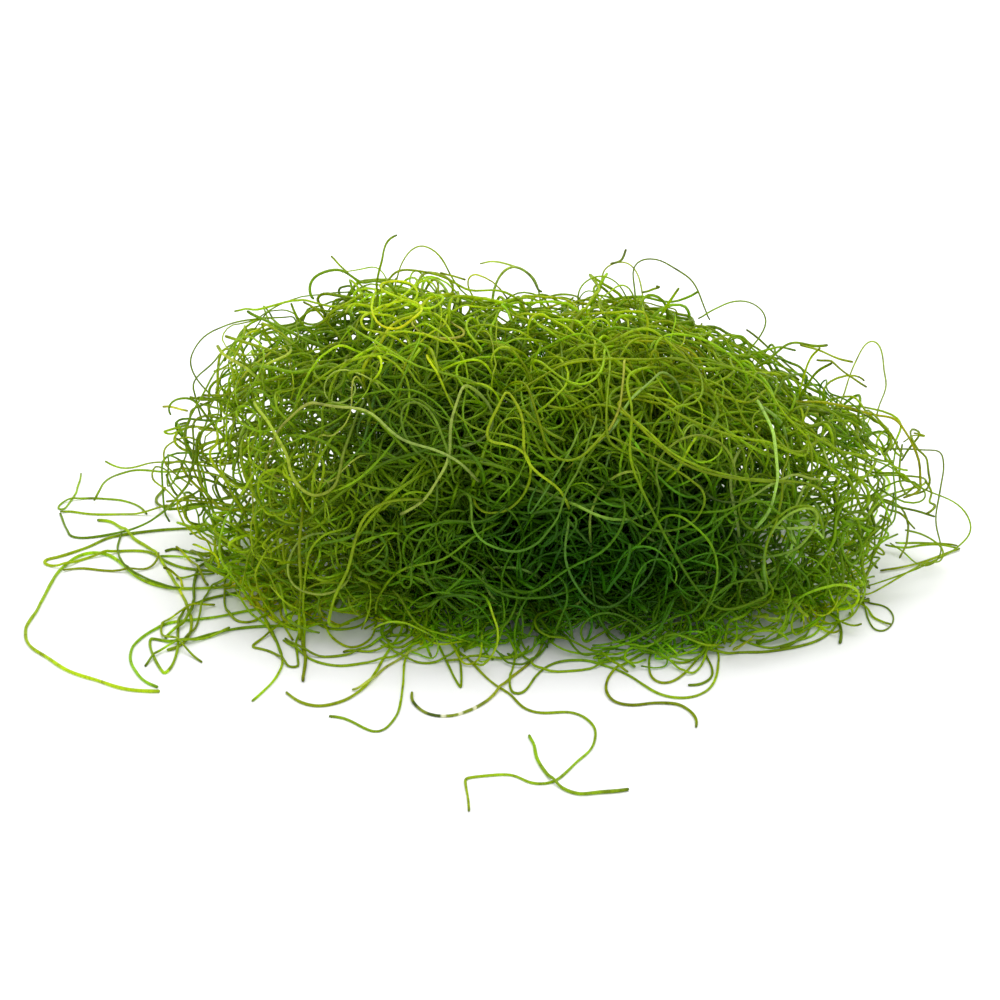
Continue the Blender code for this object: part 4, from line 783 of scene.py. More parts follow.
def opened(runs):
    """The runs drawn aside, across the sight, round every opening."""
    count = [len(r) for r in runs]
    place = np.concatenate(runs)
    small = []
    for left, right, top, bottom, many in OPEN_REGIONS:
        for _ in range(many):
            size = rng.uniform(1.8, 3.6)
            small.append((rng.uniform(left, right), rng.uniform(top, bottom), size, size * rng.uniform(0.8, 1.3)))
    for x, y, wide, tall in (*OPENINGS, *small):
        across, down, far = seen(place)
        off = np.stack([across - x, down - y], 1)
        gap = np.linalg.norm(off / (wide, tall), axis=1)
        near = np.flatnonzero(gap < 4)
        more = (gap[near] ** 3 + 1) ** (1 / 3) / np.maximum(gap[near], 0.02) - 1
        shift = off[near] * more[:, None] * (far[near] / SIGHT_LENGTH)[:, None]
        place[near, 0] += shift[:, 0]
        place[near, 1] -= shift[:, 1] * math.sin(SIGHT_TILT)
        place[near, 2] -= shift[:, 1] * math.cos(SIGHT_TILT)
    place[:, 2] = np.maximum(place[:, 2], 0.27)
    return np.split(place, np.cumsum(count)[:-1])


def clear_of_wide_openings(strands):
    """The strands, each cut down to its longest stretch that crosses no wide opening."""
    kept = []
    for s in strands:
        across, down, _ = seen(s.run)
        inside = np.zeros(len(s.run), bool)
        for x, y, wide, tall in WIDE_OPENINGS:
            inside |= ((across - x) / wide) ** 2 + ((down - y) / tall) ** 2 < 1
        edges = np.r_[-1, np.flatnonzero(inside), len(s.run)]
        i = int(np.diff(edges).argmax())
        if edges[i + 1] - edges[i] > 14:
            kept.append(Strand(s.run[edges[i] + 1 : edges[i + 1]], s.radius, s.tone, 1.0))
    return kept


def drawn_behind(runs, leaders):
    """The runs moved back, along the sight, where they would cover one of the leaders."""
    nearest = np.full((1000, 1000), np.inf)
    for leader in leaders:
        across, down, far = seen(evenly(leader, 0.12))
        for dx in range(-2, 3):
            for dy in range(-2, 3):
                x, y = (np.clip(v, 0, 999).astype(int) for v in (across + dx, down + dy))
                np.minimum.at(nearest, (y, x), far)
    way = np.array([0, math.cos(SIGHT_TILT), -math.sin(SIGHT_TILT)])
    weights = np.exp(-0.5 * (np.arange(-7, 8) / 2.5) ** 2)
    weights /= weights.sum()
    moved = []
    for run in runs:
        for _ in range(3):
            if len(run) < 16:
                break
            across, down, far = seen(run)
            x, y = (np.clip(v, 0, 999).astype(int) for v in (across, down))
            need = nearest[y, x] + 0.5 - far
            need = np.where((need > 0) & (need < 7.5), need, 0)
            if not need.any():
                break
            wide = np.max([np.roll(np.pad(need, 3), k)[3:-3] for k in (-2, -1, 0, 1, 2)], axis=0)
            run = run + np.convolve(np.pad(wide, 7, "edge"), weights, "valid")[:, None] * way
            run[:, 2] = np.maximum(run[:, 2], 0.27)
        moved.append(run)
    return moved


class Strand:
    """One filament: its run, radius, tone, and how freely each sample may move."""

    def __init__(self, run, radius, tone, loose, name=None, tips=(True, True)):
        self.run, self.radius, self.tone, self.name, self.tips = run, radius, tone, name, tips
        self.loose = np.full(len(run), float(loose)) if np.isscalar(loose) else loose


def traced(lie, rows, names, laid, gap):
    """Filaments read from the sight; all but those on the skin pass over the ones laid before."""
    made = []
    for name, (radius, tone, points) in zip(names, rows):
        run = smooth_route(lie, points, radius)
        run = laid_over(run, radius, laid, gap) if not isinstance(lie, float) else run
        laid.append((radius, run))
        made.append((name, radius, tone, run))
    return made


def carried_on(made, limit):
    """Each run lengthened from whichever ends lie inside the tangle."""
    starts, ways, owners = [], [], []
    for i, (_, _, _, run) in enumerate(made):
        for end, (a, b) in enumerate(((0, 6), (-1, -7))):
            if mass_value(run[a]) < limit:
                starts.append(run[a])
                ways.append(run[a] - run[b])
                owners.append((i, end))
    room = rng.uniform(0.60, 0.82, len(starts))
    grown = grow(np.array(starts), np.array(ways), rng.uniform(8, 26, len(starts)), room, rng.uniform(3.5, 8.0, len(starts)))
    strands = []
    extra = {owner: run for owner, run in zip(owners, grown)}
    for i, (name, radius, tone, run) in enumerate(made):
        parts, loose = [evenly(run, STEP)], [np.zeros(len(evenly(run, STEP)))]
        if (i, 0) in extra:
            tail = extra[i, 0][:0:-1]
            parts.insert(0, tail)
            loose.insert(0, np.clip(np.arange(len(tail), 0, -1) / 8.0, 0, 1))
        if (i, 1) in extra:
            tail = extra[i, 1][1:]
            parts.append(tail)
            loose.append(np.clip(np.arange(1, len(tail) + 1) / 8.0, 0, 1))
        strands.append(Strand(np.concatenate(parts), radius, tone, np.concatenate(loose), name))
    return strands


def push_apart(strands, rounds):
    """Moves the loose samples apart where two filaments share a place, for a number of rounds."""
    count = np.array([len(s.run) for s in strands])
    first = np.r_[0, np.cumsum(count)[:-1]]
    place = np.concatenate([s.run for s in strands])
    loose = np.concatenate([s.loose for s in strands])
    radius = np.repeat([s.radius for s in strands], count)
    owner = np.repeat(np.arange(len(strands)), count)
    order = np.arange(len(place))
    reach = 2 * max(s.radius for s in strands) + 0.06
    # neighbours along a filament, for easing how far each sample moves
    around = order[:, None] + np.arange(-4, 5)[None, :]
    around = np.clip(around, first[owner][:, None], (first + count - 1)[owner][:, None])
    weights = np.array([1, 2, 4, 6, 7, 6, 4, 2, 1], float)
    weights /= weights.sum()
    for _ in range(rounds):
        cell = np.floor(place / reach).astype(np.int64)
        cell -= cell.min(0) - 1
        wide = cell.max(0) + 2
        key = (cell[:, 0] * wide[1] + cell[:, 1]) * wide[2] + cell[:, 2]
        sort = np.argsort(key, kind="stable")
        ranked = key[sort]
        move = np.zeros_like(place)
        hits = np.zeros(len(place))
        for dx in (-1, 0, 1):
            for dy in (-1, 0, 1):
                middle = key + (dx * wide[1] + dy) * wide[2]
                a = np.searchsorted(ranked, middle - 1, "left")
                b = np.searchsorted(ranked, middle + 1, "right")
                n = b - a
                one = np.repeat(order, n)
                other = sort[np.repeat(a - np.r_[0, np.cumsum(n)[:-1]], n) + np.arange(n.sum())]
                good = (other > one) & ((owner[one] != owner[other]) | (other - one > 4))
                one, other = one[good], other[good]
                apart = place[one] - place[other]
                gap = np.linalg.norm(apart, axis=1)
                need = radius[one] + radius[other] + 0.03
                good = gap < need
                one, other, apart, gap, need = one[good], other[good], apart[good], gap[good], need[good]
                way = apart / np.maximum(gap, 1e-4)[:, None]
                total = np.maximum(loose[one] + loose[other], 1e-6)
                push = (need - gap)[:, None] * way
                for who, share, sign in ((one, loose[one] / total, 1), (other, loose[other] / total, -1)):
                    for k in range(3):
                        move[:, k] += np.bincount(who, sign * share * push[:, k], len(place))
                    hits += np.bincount(who, minlength=len(place))
        move /= np.maximum(hits, 1)[:, None] ** 0.5
        eased_move = (move[around] * weights[None, :, None]).sum(1) * 1.9
        place = place + eased_move * np.minimum(loose, 1)[:, None]
        place[:, 2] = np.where(loose > 0, np.maximum(place[:, 2], radius + 0.02), place[:, 2])
    # a last easing takes out any unevenness that the pushing left
    soft = (place[around[:, 2:7]] * np.array([1, 2, 3, 2, 1])[None, :, None]).sum(1) / 9
    place = np.where((loose > 0)[:, None], place * 0.4 + soft * 0.6, place)
    for s, a, n in zip(strands, first, count):
        s.run = place[a : a + n]


# ---- colours -------------------------------------------------------------------

# usual colour of each tone, and how much its filaments differ among themselves
TONES = {
    "green": ((0.335, 0.450, 0.0080), 0.08),
    "dark": ((0.235, 0.350, 0.0080), 0.08),
    "pale": ((0.520, 0.620, 0.1200), 0.06),
    "yellow": ((0.570, 0.620, 0.0200), 0.06),
    "blue": ((0.340, 0.460, 0.0600), 0.06),
    "banded": ((0.400, 0.480, 0.0300), 0.03),
}

# filaments that are lighter or darker than their tone
LIGHTER = {
    "left_great_loop": 1.25, "left_inner_hook": 1.4, "left_s_bend": 1.15, "left_triangle_kink": 1.15,
    "front_left_tip": 1.15, "front_loose_short": 1.35, "front_right_sweep": 0.8, "right_small_ring": 0.75,
}  # fmt: skip

# along the bleached filament, from its free tip: where each stretch ends, and its kind
BAND_KINDS = {"dark": (0.13, 0.20, 0.02), "olive": (0.34, 0.42, 0.04), "white": (0.84, 0.86, 0.76)}
BLEACHING = (
    (3.0, "olive"), (4.6, "dark"), (7.0, "olive"), (9.2, "dark"), (9.8, "white"),
    (11.6, "olive"), (12.2, "white"), (14.0, "olive"), (14.8, "white"), (17.0, "olive"),
)  # fmt: skip


# painted shade on two parts of the heap, its heart low in the middle and a hollow high on its left:
# (x, z), half sizes, how much darker, and how much greener the painted shade makes it
PAINTED_HEART_SHADE = ((14.0, 12.0), (27.0, 12.0), 1.00, 1.15)
PAINTED_HOLLOW_SHADE = ((-14.0, 31.0), (17.0, 5.5), 0.45, 0.30)
# painted light: an overall level for the colour, and how much lighter the crown, the open ends and the foot are painted
OVERALL, CROWN_LIGHT, END_LIGHT, FOOT_LIGHT = 0.18, 0.28, 0.06, 0.65


def shade_of(place):
    """Factors for red, green and blue that paint light and shade into the colour: painted light
    at the heap's open ends, its crown and round its foot, and painted shade, darkest and
    greenest, in its heart and in a hollow high on its left, as if light had passed through most filaments there."""
    x, z = place[:, 0], place[:, 2]
    light = END_LIGHT * np.clip((np.abs(x - MASS_CENTRE_X) - 32) / 15, 0, 1) + FOOT_LIGHT * np.clip((6 - z) / 6, 0, 1)
    light += CROWN_LIGHT * np.clip((z - 37) / 4, 0, 1)
    # painted shade also takes red out where it lies, so the heart and the hollow turn greener
    painted_greening = np.zeros(len(place))
    for (px, pz), (wide, tall), darker, greener in (PAINTED_HEART_SHADE, PAINTED_HOLLOW_SHADE):
        amount = np.exp(-(((x - px) / wide) ** 2) - ((z - pz) / tall) ** 2)
        light = light - darker * amount
        painted_greening -= greener * amount
    within = 1 - np.clip((mass_value(place) - 1.05) / 0.5, 0, 1)
    return np.exp(OVERALL + np.stack([light + painted_greening, light, light], 1) * within[:, None])


def tint_of(strand, run, at, length):
    """A colour for every sample: the strand's own, slowly changing, with dark tips, and with the heap's painted light
    and shade.
    """
    base, spread = TONES[strand.tone]
    own = np.array(base) * math.exp(rng.normal(0, spread))
    own = own * np.exp(np.array([rng.normal(0, 0.06), 0.0, rng.normal(0, 0.25)]))
    if strand.name is not None and strand.name.startswith("filament_"):
        own = np.array(base) * LIGHTER.get(strand.name.removeprefix("filament_"), 1.0)
    phase = rng.uniform(0, 7, 3)
    slow = 1 + 0.13 * np.sin(at / rng.uniform(6, 14) + phase[0]) + 0.07 * np.sin(at / rng.uniform(2, 4) + phase[1])
    # pale and traced ones lie outermost, where less of the heap shades them
    share = 0.4 if strand.tone in ("pale", "yellow") else 0.7 if strand.name is not None else 1.0
    colour = own[None, :] * slow[:, None] * shade_of(run) ** share
    # a little yellower or greener along its length
    shade = 0.5 + 0.5 * np.sin(at / rng.uniform(9, 20) + phase[2])
    colour = colour * (1 + 0.18 * (shade[:, None] - 0.5) * np.array([1.0, 0.2, -0.6])[None, :])
    if strand.tone == "banded":
        for end, band in reversed(BLEACHING):
            colour = np.where((length - at < end)[:, None], np.array(BAND_KINDS[band]), colour)
        return np.minimum(colour, 0.9)
    for there, tip in ((at, strand.tips[0]), (length - at, strand.tips[1])):
        if tip:
            near = np.exp(-((there / 0.8) ** 2))[:, None]
            colour = colour * (1 - 0.45 * near) + np.array([0.050, 0.085, 0.012]) * 0.45 * near
    return np.minimum(colour, 0.78)


# ---- meshes --------------------------------------------------------------------

# how fine a filament looks beside its solid: the usual, and those that differ
FINENESS = 0.75
FULL, SLIM, FINEST = 0.88, 0.65, 0.54
THINNER = {
    **dict.fromkeys(("left_great_loop", "left_inner_hook", "left_narrow_loop", "left_s_bend", "left_triangle_kink", "crown_left_bow"), FULL),
    **dict.fromkeys(("front_left_tip", "front_left_deep_bow", "left_upper_tip", "left_far_tip", "crown_right_stub", "crown_right_tip",
        "crown_left_spire", "crown_left_tip", "crown_pale_wisp"), SLIM),
    **dict.fromkeys(("right_small_ring", "right_long_bow", "right_square_bend", "right_low_trail", "right_small_arch", "right_tall_loop",
        "crown_right_arch", "crown_great_arch", "crown_middle_bow", "crown_pale_bow", "crown_left_arch", "shoulder_wide_arch"), FINEST),
}  # fmt: skip


def kinked(run, loose):
    """The run with the slight bends at its joints that such a filament has."""
    run_in = evenly(run, STEP)
    at = np.arange(len(run_in)) * STEP
    joints = np.cumsum(rng.uniform(2.0, 6.0, int(at[-1] / 2) + 3))
    joints = np.r_[0, joints]
    shift = np.stack([np.interp(at, joints, rng.normal(0, 0.075, len(joints))) for _ in range(3)], 1)
    shift[:, 2] *= 0.3
    shift *= np.clip(np.minimum(at, at[-1] - at) / 1.5, 0, 1)[:, None]
    shift[:, 2] = np.maximum(shift[:, 2], 0)
    return run_in + shift



def sampled(run, radius, turn, longest, coarse):
    """Fewer samples: close together where the run bends, further apart where not or deep inside."""
    run = evenly(run, 0.3)
    way = unit(np.diff(run, axis=0))
    angle = np.arccos(np.clip((way[1:] * way[:-1]).sum(1), -1, 1))
    angle = np.r_[angle[:1] if len(angle) else 0, angle, angle[-1:] if len(angle) else 0]
    angle = 0.5 * (angle[1:] + angle[:-1])
    angle = np.convolve(np.pad(angle, 2, "edge"), np.ones(5) / 5, "valid")[: len(run) - 1]
    step = np.linalg.norm(np.diff(run, axis=0), axis=1)
    ease = 1 + (coarse - 1) * np.clip((0.55 - mass_value(run[1:])) / 0.2, 0, 1)
    cost = np.r_[0, np.cumsum(np.maximum(step / longest, angle / math.radians(turn) / ease))]
    at = np.r_[0, np.cumsum(step)]
    n = max(3, int(math.ceil(cost[-1])) + 1)
    picked = np.interp(np.linspace(0, cost[-1], n), cost, at)
    length = at[-1]
    tips = [0.35 * radius, 0.9 * radius]
    inner = picked[(picked > 1.6 * radius) & (picked < length - 1.6 * radius)]
    picked = np.array([0, *tips, *inner, *[length - t for t in reversed(tips)], length])
    return np.stack([np.interp(picked, at, run[:, k]) for k in range(3)], 1), picked, length


def make_tubes(name, strands, sides, turn, longest, coarse, material):
    """One mesh of round tubes with rounded tips, one for each strand."""
    runs, ats, radii, tints = [], [], [], []
    for s in strands:
        run, at, length = sampled(s.run, s.radius, turn, longest, coarse)
        phase = rng.uniform(0, 7)
        swell = 1 + 0.06 * np.sin(at / 2.3 + phase) + 0.05 * np.sin(at / 0.9 + 2 * phase)
        radius = s.radius * swell
        for there in (at, length - at):
            radius = radius * np.sqrt(np.clip(there / (1.0 * s.radius), 0, 1) * 0.72 + 0.28)
        runs.append(run)
        ats.append(at)
        radii.append(radius)
        tints.append(tint_of(s, run, at, length))
    count = np.array([len(r) for r in runs])
    longest_run = count.max()
    inside = np.arange(longest_run)[None, :] < count[:, None]
    place = np.stack([np.pad(r, ((0, longest_run - len(r)), (0, 0)), "edge") for r in runs])
    ahead = np.diff(place, axis=1)
    ahead = np.where(np.linalg.norm(ahead, axis=2, keepdims=True) > 1e-9, ahead, np.nan)
    before = np.concatenate([ahead[:, :1], ahead], 1)
    after = np.concatenate([ahead, ahead[:, -1:]], 1)
    way = unit(np.nan_to_num(unit(before)) + np.nan_to_num(unit(after)))
    # a frame carried along each run without twist
    side = np.cross(way[:, 0], np.array([0.31, 0.52, 0.79]))
    side = unit(side)
    sides_of = [side]
    for i in range(1, longest_run):
        side = side - (side * way[:, i]).sum(1, keepdims=True) * way[:, i]
        side = unit(side)
        sides_of.append(side)
    side = np.stack(sides_of, 1)
    over = np.cross(way, side)
    turns = np.arange(sides) * 2 * math.pi / sides
    ring = side[:, :, None, :] * np.cos(turns)[None, None, :, None] + over[:, :, None, :] * np.sin(turns)[None, None, :, None]
    wide = np.stack([np.pad(r, (0, longest_run - len(r)), "edge") for r in radii])
    corners = place[:, :, None, :] + ring * wide[:, :, None, None]
    corners[..., 2] = np.maximum(corners[..., 2], 0.005)
    vertices = corners[inside].reshape(-1, 3)
    first = np.r_[0, np.cumsum(count)[:-1]]

    rings = np.concatenate([np.arange(a, a + n - 1) for a, n in zip(first, count)])
    a = np.arange(sides)
    b = (a + 1) % sides
    base = rings[:, None] * sides
    quads = np.stack([base + a, base + sides + a, base + sides + b, base + b], -1).reshape(-1, 4)
    heads = first[:, None] * sides + a
    tails = ((first + count - 1)[:, None] * sides + a)[:, ::-1]
    loops = np.concatenate([quads.ravel(), heads.ravel(), tails.ravel()])
    starts = np.r_[np.arange(len(quads)) * 4, len(quads) * 4 + np.arange(2 * len(runs)) * sides]
    mesh = bpy.data.meshes.new(name)
    mesh.vertices.add(len(vertices))
    mesh.vertices.foreach_set("co", ((vertices + SHIFT) * MM).astype(np.float32).ravel())
    mesh.loops.add(len(loops))
    mesh.loops.foreach_set("vertex_index", loops.astype(np.int32))
    mesh.polygons.add(len(starts))
    mesh.polygons.foreach_set("loop_start", starts.astype(np.int32))

    # rows of a flat map: every tube is a strip, cut where a row ends
    at = np.concatenate(ats)
    total = np.concatenate([x + off for x, off in zip(ats, np.r_[0, np.cumsum([x[-1] + 1.0 for x in ats])[:-1]])])
    rows = 120
    row_length = total[-1] / rows * 1.001 + 0.01
    row = np.floor(total[rings] / row_length)
    across0 = (total[rings] - row * row_length) / row_length * 0.97 + 0.004
    across1 = (total[rings + 1] - row * row_length) / row_length * 0.97 + 0.004
    across1 = np.minimum(across1, 0.999)
    low = (row / rows)[:, None] + 0.0008
    v0 = low + a[None, :] / sides * 0.0066
    v1 = low + (a[None, :] + 1) / sides * 0.0066
    u0, u1 = (np.repeat(u[:, None], sides, 1) for u in (across0, across1))
    flat = np.stack([np.stack([u0, v0], -1), np.stack([u1, v0], -1), np.stack([u1, v1], -1), np.stack([u0, v1], -1)], 2)
    caps = []
    for ring_number, seg in ((first, 0), (first + count - 2, 1)):
        which = np.searchsorted(rings, ring_number)
        u = (across0 if seg == 0 else across1)[which]
        v = low[which, 0]
        angle = turns if seg == 0 else turns[::-1]
        caps.append(np.stack([u[:, None] + 0.0006 * np.cos(angle), v[:, None] + 0.0033 + 0.002 * np.sin(angle)], -1))
    layer = mesh.uv_layers.new(name="OFBake")
    uv = np.concatenate([flat.reshape(-1, 2), caps[0].reshape(-1, 2), caps[1].reshape(-1, 2)])
    layer.data.foreach_set("uv", uv.astype(np.float32).ravel())

    tint = mesh.attributes.new("tint", "FLOAT_COLOR", "POINT")
    colour = np.repeat(np.concatenate(tints), sides, 0)
    tint.data.foreach_set("color", np.c_[colour, np.ones(len(colour))].astype(np.float32).ravel())
    along = mesh.attributes.new("along", "FLOAT", "POINT")
    offset = np.repeat(np.arange(len(runs)) * 37.7 % 900, count)
    along.data.foreach_set("value", np.repeat(at + offset, sides).astype(np.float32))
    mesh.update(calc_edges=True)
    mesh.validate()
    mesh.shade_smooth()
    piece = bpy.data.objects.new(name, mesh)
    bpy.context.scene.collection.objects.link(piece)
    mesh.materials.append(material)
    return piece


# ---- materials -----------------------------------------------------------------


def algae_material(name, banding):
    """Wet, slightly see-through plant tissue with cross walls and mottling."""
    material = bpy.data.materials.new(name)
    material.use_nodes = True
    tree = material.node_tree
    nodes, link = tree.nodes, tree.links.new
    shader = nodes["Principled BSDF"]
    out = nodes["Material Output"]

    def node(kind, **values):
        made = nodes.new(kind)
        for key, value in values.items():
            setattr(made, key, value)
        return made

    def maths(how, one, two=None, clamp=False):
        made = node("ShaderNodeMath", operation=how, use_clamp=clamp)
        for socket, value in zip(made.inputs, (one, two)):
            if value is None:
                continue
            if isinstance(value, (int, float)):
                socket.default_value = value
            else:
                link(value, socket)
        return made.outputs[0]

    tint = node("ShaderNodeAttribute", attribute_name="tint").outputs["Color"]
    along = node("ShaderNodeAttribute", attribute_name="along").outputs["Fac"]
    place = node("ShaderNodeTexCoord").outputs["Object"]

    # cross walls: fine dark lines about a cell's length apart
    wander = node("ShaderNodeTexNoise", noise_dimensions="1D")
    wander.inputs["Scale"].default_value = 0.9
    wander.inputs["Detail"].default_value = 1.0
    link(along, wander.inputs["W"])
    cell = maths("ADD", maths("MULTIPLY", along, 1.25), maths("MULTIPLY", wander.outputs["Fac"], 1.6))
    wall = maths("ABSOLUTE", maths("SUBTRACT", maths("FRACT", cell), 0.5))
    wall = maths("POWER", maths("MULTIPLY", wall, 2.0), 6.0, clamp=True)

    # mottling of the tissue
    mottle = node("ShaderNodeTexNoise")
    mottle.inputs["Scale"].default_value = 1500.0
    mottle.inputs["Detail"].default_value = 3.0
    mottle.inputs["Roughness"].default_value = 0.6
    link(place, mottle.inputs["Vector"])
    drift = node("ShaderNodeTexNoise", noise_dimensions="1D")
    drift.inputs["Scale"].default_value = 0.23
    drift.inputs["Detail"].default_value = 2.0
    link(along, drift.inputs["W"])

    # darker spots, a few millimetres apart
    spot = node("ShaderNodeTexNoise", noise_dimensions="1D")
    spot.inputs["Scale"].default_value = 0.75
    spot.inputs["Detail"].default_value = 1.0
    link(maths("ADD", along, 411.7), spot.inputs["W"])
    spots = maths("MULTIPLY", maths("SUBTRACT", spot.outputs["Fac"], 0.56), 4.0, clamp=True)

    bright = maths("ADD", 0.66, maths("MULTIPLY", mottle.outputs["Fac"], 0.42))
    bright = maths("ADD", bright, maths("MULTIPLY", drift.outputs["Fac"], 0.36))
    bright = maths("SUBTRACT", bright, maths("MULTIPLY", wall, banding))
    bright = maths("SUBTRACT", bright, maths("MULTIPLY", spots, 0.30))
    scaled = node("ShaderNodeVectorMath", operation="SCALE")
    link(tint, scaled.inputs[0])
    link(bright, scaled.inputs["Scale"])
    colour = scaled.outputs[0]
    link(colour, shader.inputs["Base Color"])
    rough = maths("ADD", 0.24, maths("MULTIPLY", mottle.outputs["Fac"], 0.16))
    link(rough, shader.inputs["Roughness"])
    shader.inputs["Specular IOR Level"].default_value = 0.25
    shader.inputs["Coat Weight"].default_value = 0.0

    height = maths("SUBTRACT", maths("MULTIPLY", mottle.outputs["Fac"], 0.5), maths("MULTIPLY", wall, 0.6))
    bump = node("ShaderNodeBump")
    bump.inputs["Strength"].default_value = 0.35
    bump.inputs["Distance"].default_value = 0.00006
    link(height, bump.inputs["Height"])
    link(bump.outputs["Normal"], shader.inputs["Normal"])

    glow = node("ShaderNodeBsdfTranslucent")
    richer = node("ShaderNodeVectorMath", operation="MULTIPLY")
    link(colour, richer.inputs[0])
    richer.inputs[1].default_value = (1.30, 1.25, 1.0)
    link(richer.outputs[0], glow.inputs["Color"])
    mix = node("ShaderNodeMixShader")
    mix.inputs["Fac"].default_value = 0.54
    link(shader.outputs[0], mix.inputs[1])
    link(glow.outputs[0], mix.inputs[2])
    link(mix.outputs[0], out.inputs["Surface"])
    return material


# ---- the surface below, the light and the camera --------------------------------


def studio():
    bpy.ops.mesh.primitive_plane_add(size=12.0, location=(0, 3.0, 0))
    floor = bpy.context.object
    floor.name = "studio_floor"
    material = bpy.data.materials.new("studio_white")
    material.use_nodes = True
    shader = material.node_tree.nodes["Principled BSDF"]
    shader.inputs["Base Color"].default_value = (0.93, 0.93, 0.93, 1)
    shader.inputs["Roughness"].default_value = 0.9
    shader.inputs["Specular IOR Level"].default_value = 0.1
    floor.data.materials.append(material)

    world = bpy.data.worlds.new("studio_world")
    world.use_nodes = True
    world.node_tree.nodes["Background"].inputs["Color"].default_value = (1, 1, 1, 1)
    world.node_tree.nodes["Background"].inputs["Strength"].default_value = 0.70
    bpy.context.scene.world = world

    def softbox(name, place, aim, size, power):
        lamp = bpy.data.lights.new(name, "AREA")
        lamp.shape, lamp.size, lamp.size_y, lamp.energy = "RECTANGLE", size[0], size[1], power
        body = bpy.data.objects.new(name, lamp)
        body.location = place
        way = np.array(aim) - np.array(place)
        flat = math.hypot(way[0], way[1])
        body.rotation_euler = (math.atan2(flat, -way[2]), 0, math.atan2(way[1], way[0]) - math.pi / 2)
        bpy.context.scene.collection.objects.link(body)

    softbox("softbox_above", (0.03, 0.36, 0.82), (0, 0.02, 0.02), (1.3, 1.0), 9.4)
    softbox("softbox_front", (0, -0.95, 0.45), (0, 0, 0.01), (1.2, 0.7), 1.6)

    lens = bpy.data.cameras.new("camera")
    lens.sensor_width, lens.lens = 36.0, 36.0 * SIGHT_LENGTH / 1000
    lens.clip_start, lens.clip_end = 0.01, 50.0
    camera = bpy.data.objects.new("camera", lens)
    eye, _ = sight_line(500, 500)
    camera.location = (eye + SHIFT) * MM
    camera.rotation_euler = (math.pi / 2 - SIGHT_TILT, 0, 0)
    bpy.context.scene.collection.objects.link(camera)
    bpy.context.scene.camera = camera
    bpy.context.scene.view_settings.view_transform = "Standard"
    bpy.context.scene.view_settings.look = "None"
    bpy.context.scene.view_settings.exposure = 0.0
    bpy.context.scene.view_settings.gamma = 1.0


# ---- making everything -----------------------------------------------------------

studio()

laid = []
named = []
for name, (radius, tone, lie, points) in FILAMENTS.items():
    fine = THINNER.get(name.removeprefix("filament_"), FINENESS)
    named += traced(lie, [(radius * fine, tone, points)], [name], laid, GAP)
strays = []
for group, (lie, rows) in STRAYS.items():
    names = [f"stray_{group}_{i}" for i in range(len(rows))]
    strays += traced(lie, [(radius * FINENESS, tone, points) for radius, tone, points in rows], names, laid, 0.03)

main_strands = carried_on(named, 0.95)
stray_strands = carried_on(strays, 1.0)

# the tangle itself: closely packed in its middle, ever looser towards its skin and its ends
close = rng.random(TANGLE) < 0.4
room = np.where(close, rng.uniform(0.72, 0.92, TANGLE), np.clip(rng.normal(0.975, 0.03, TANGLE), 0.90, 1.03))
starts = points_inside(TANGLE, 0.92)
headings = unit(rng.normal(size=(TANGLE, 3)) * np.array([1.1, 1.0, 0.9]))
lengths = rng.uniform(50, 200, TANGLE)
curls = np.clip(np.exp(rng.normal(math.log(5.8), 0.5, TANGLE)), 2.6, 22)
abrupt = rng.random(TANGLE) < 0.6
runs = kept_in(grow(starts, headings, lengths, room, curls, np.where(abrupt, 0.92, 0.7), np.where(abrupt, 0.5, 0.3)), 1.25)
tones = rng.choice(["green", "dark", "pale", "yellow", "blue"], len(runs), p=[0.75, 0.20, 0.02, 0.0, 0.03])
radii = rng.choice([0.12, 0.15, 0.18, 0.21, 0.25], len(runs), p=[0.08, 0.20, 0.32, 0.25, 0.15])
bulk = [Strand(run, r, tone, 1.0) for run, r, tone in zip(runs, radii, tones)]

# the open ends
side = rng.choice([-1, 1], EDGE)
starts = np.stack([
    MASS_CENTRE_X + side * rng.uniform(38, 53, EDGE), MASS_CENTRE_Y + rng.uniform(-14, 14, EDGE), rng.uniform(2, 24, EDGE)], 1)
runs = grow(
    starts, np.stack([0.4 * side, rng.normal(size=EDGE), 1.5 * rng.normal(size=EDGE)], 1), rng.uniform(30, 80, EDGE),
    rng.uniform(0.97, 1.08, EDGE), np.clip(np.exp(rng.normal(math.log(7.0), 0.4, EDGE)), 3.5, 15), 0.9, 0.45, shyness=0.5,
)  # fmt: skip
bulk += [Strand(run, r, tone, 1.0) for run, r, tone in zip(runs, rng.choice([0.15, 0.18, 0.22], EDGE), rng.choice(["green", "dark"], EDGE))]

# the crown, closely woven up to its top
starts = points_near_skin(CROWN_COUNT, 0.5, 0.9, 27.0)
starts = starts[np.exp(-3.0 * np.maximum(fewer(starts)[0], -0.2)) > rng.uniform(0, 1.6, CROWN_COUNT)]
n = len(starts)
runs = grow(
    starts, rng.normal(size=(n, 3)) * np.array([1.6, 0.8, 0.35]), rng.uniform(22, 70, n), rng.uniform(0.93, 0.99, n),
    np.clip(np.exp(rng.normal(math.log(6.5), 0.4, n)), 3.0, 14), 0.92, 0.5,
)  # fmt: skip
bulk += [Strand(run, r, "green", 1.0) for run, r in zip(kept_in(runs, 1.1), rng.choice([0.12, 0.16, 0.20], n))]

# short ones that stand out of the skin
starts = points_near_skin(FLUFF, 0.6, 0.92, 5.0)
runs = grow(
    starts, rng.normal(size=(FLUFF, 3)), rng.uniform(10, 34, FLUFF), rng.uniform(0.98, 1.08, FLUFF),
    np.clip(np.exp(rng.normal(math.log(3.6), 0.4, FLUFF)), 2.0, 9), 0.92, 0.5,
)  # fmt: skip
bulk += [Strand(run, r, "green", 1.0) for run, r in zip(kept_in(runs, 1.3), rng.choice([0.11, 0.14, 0.18], FLUFF))]

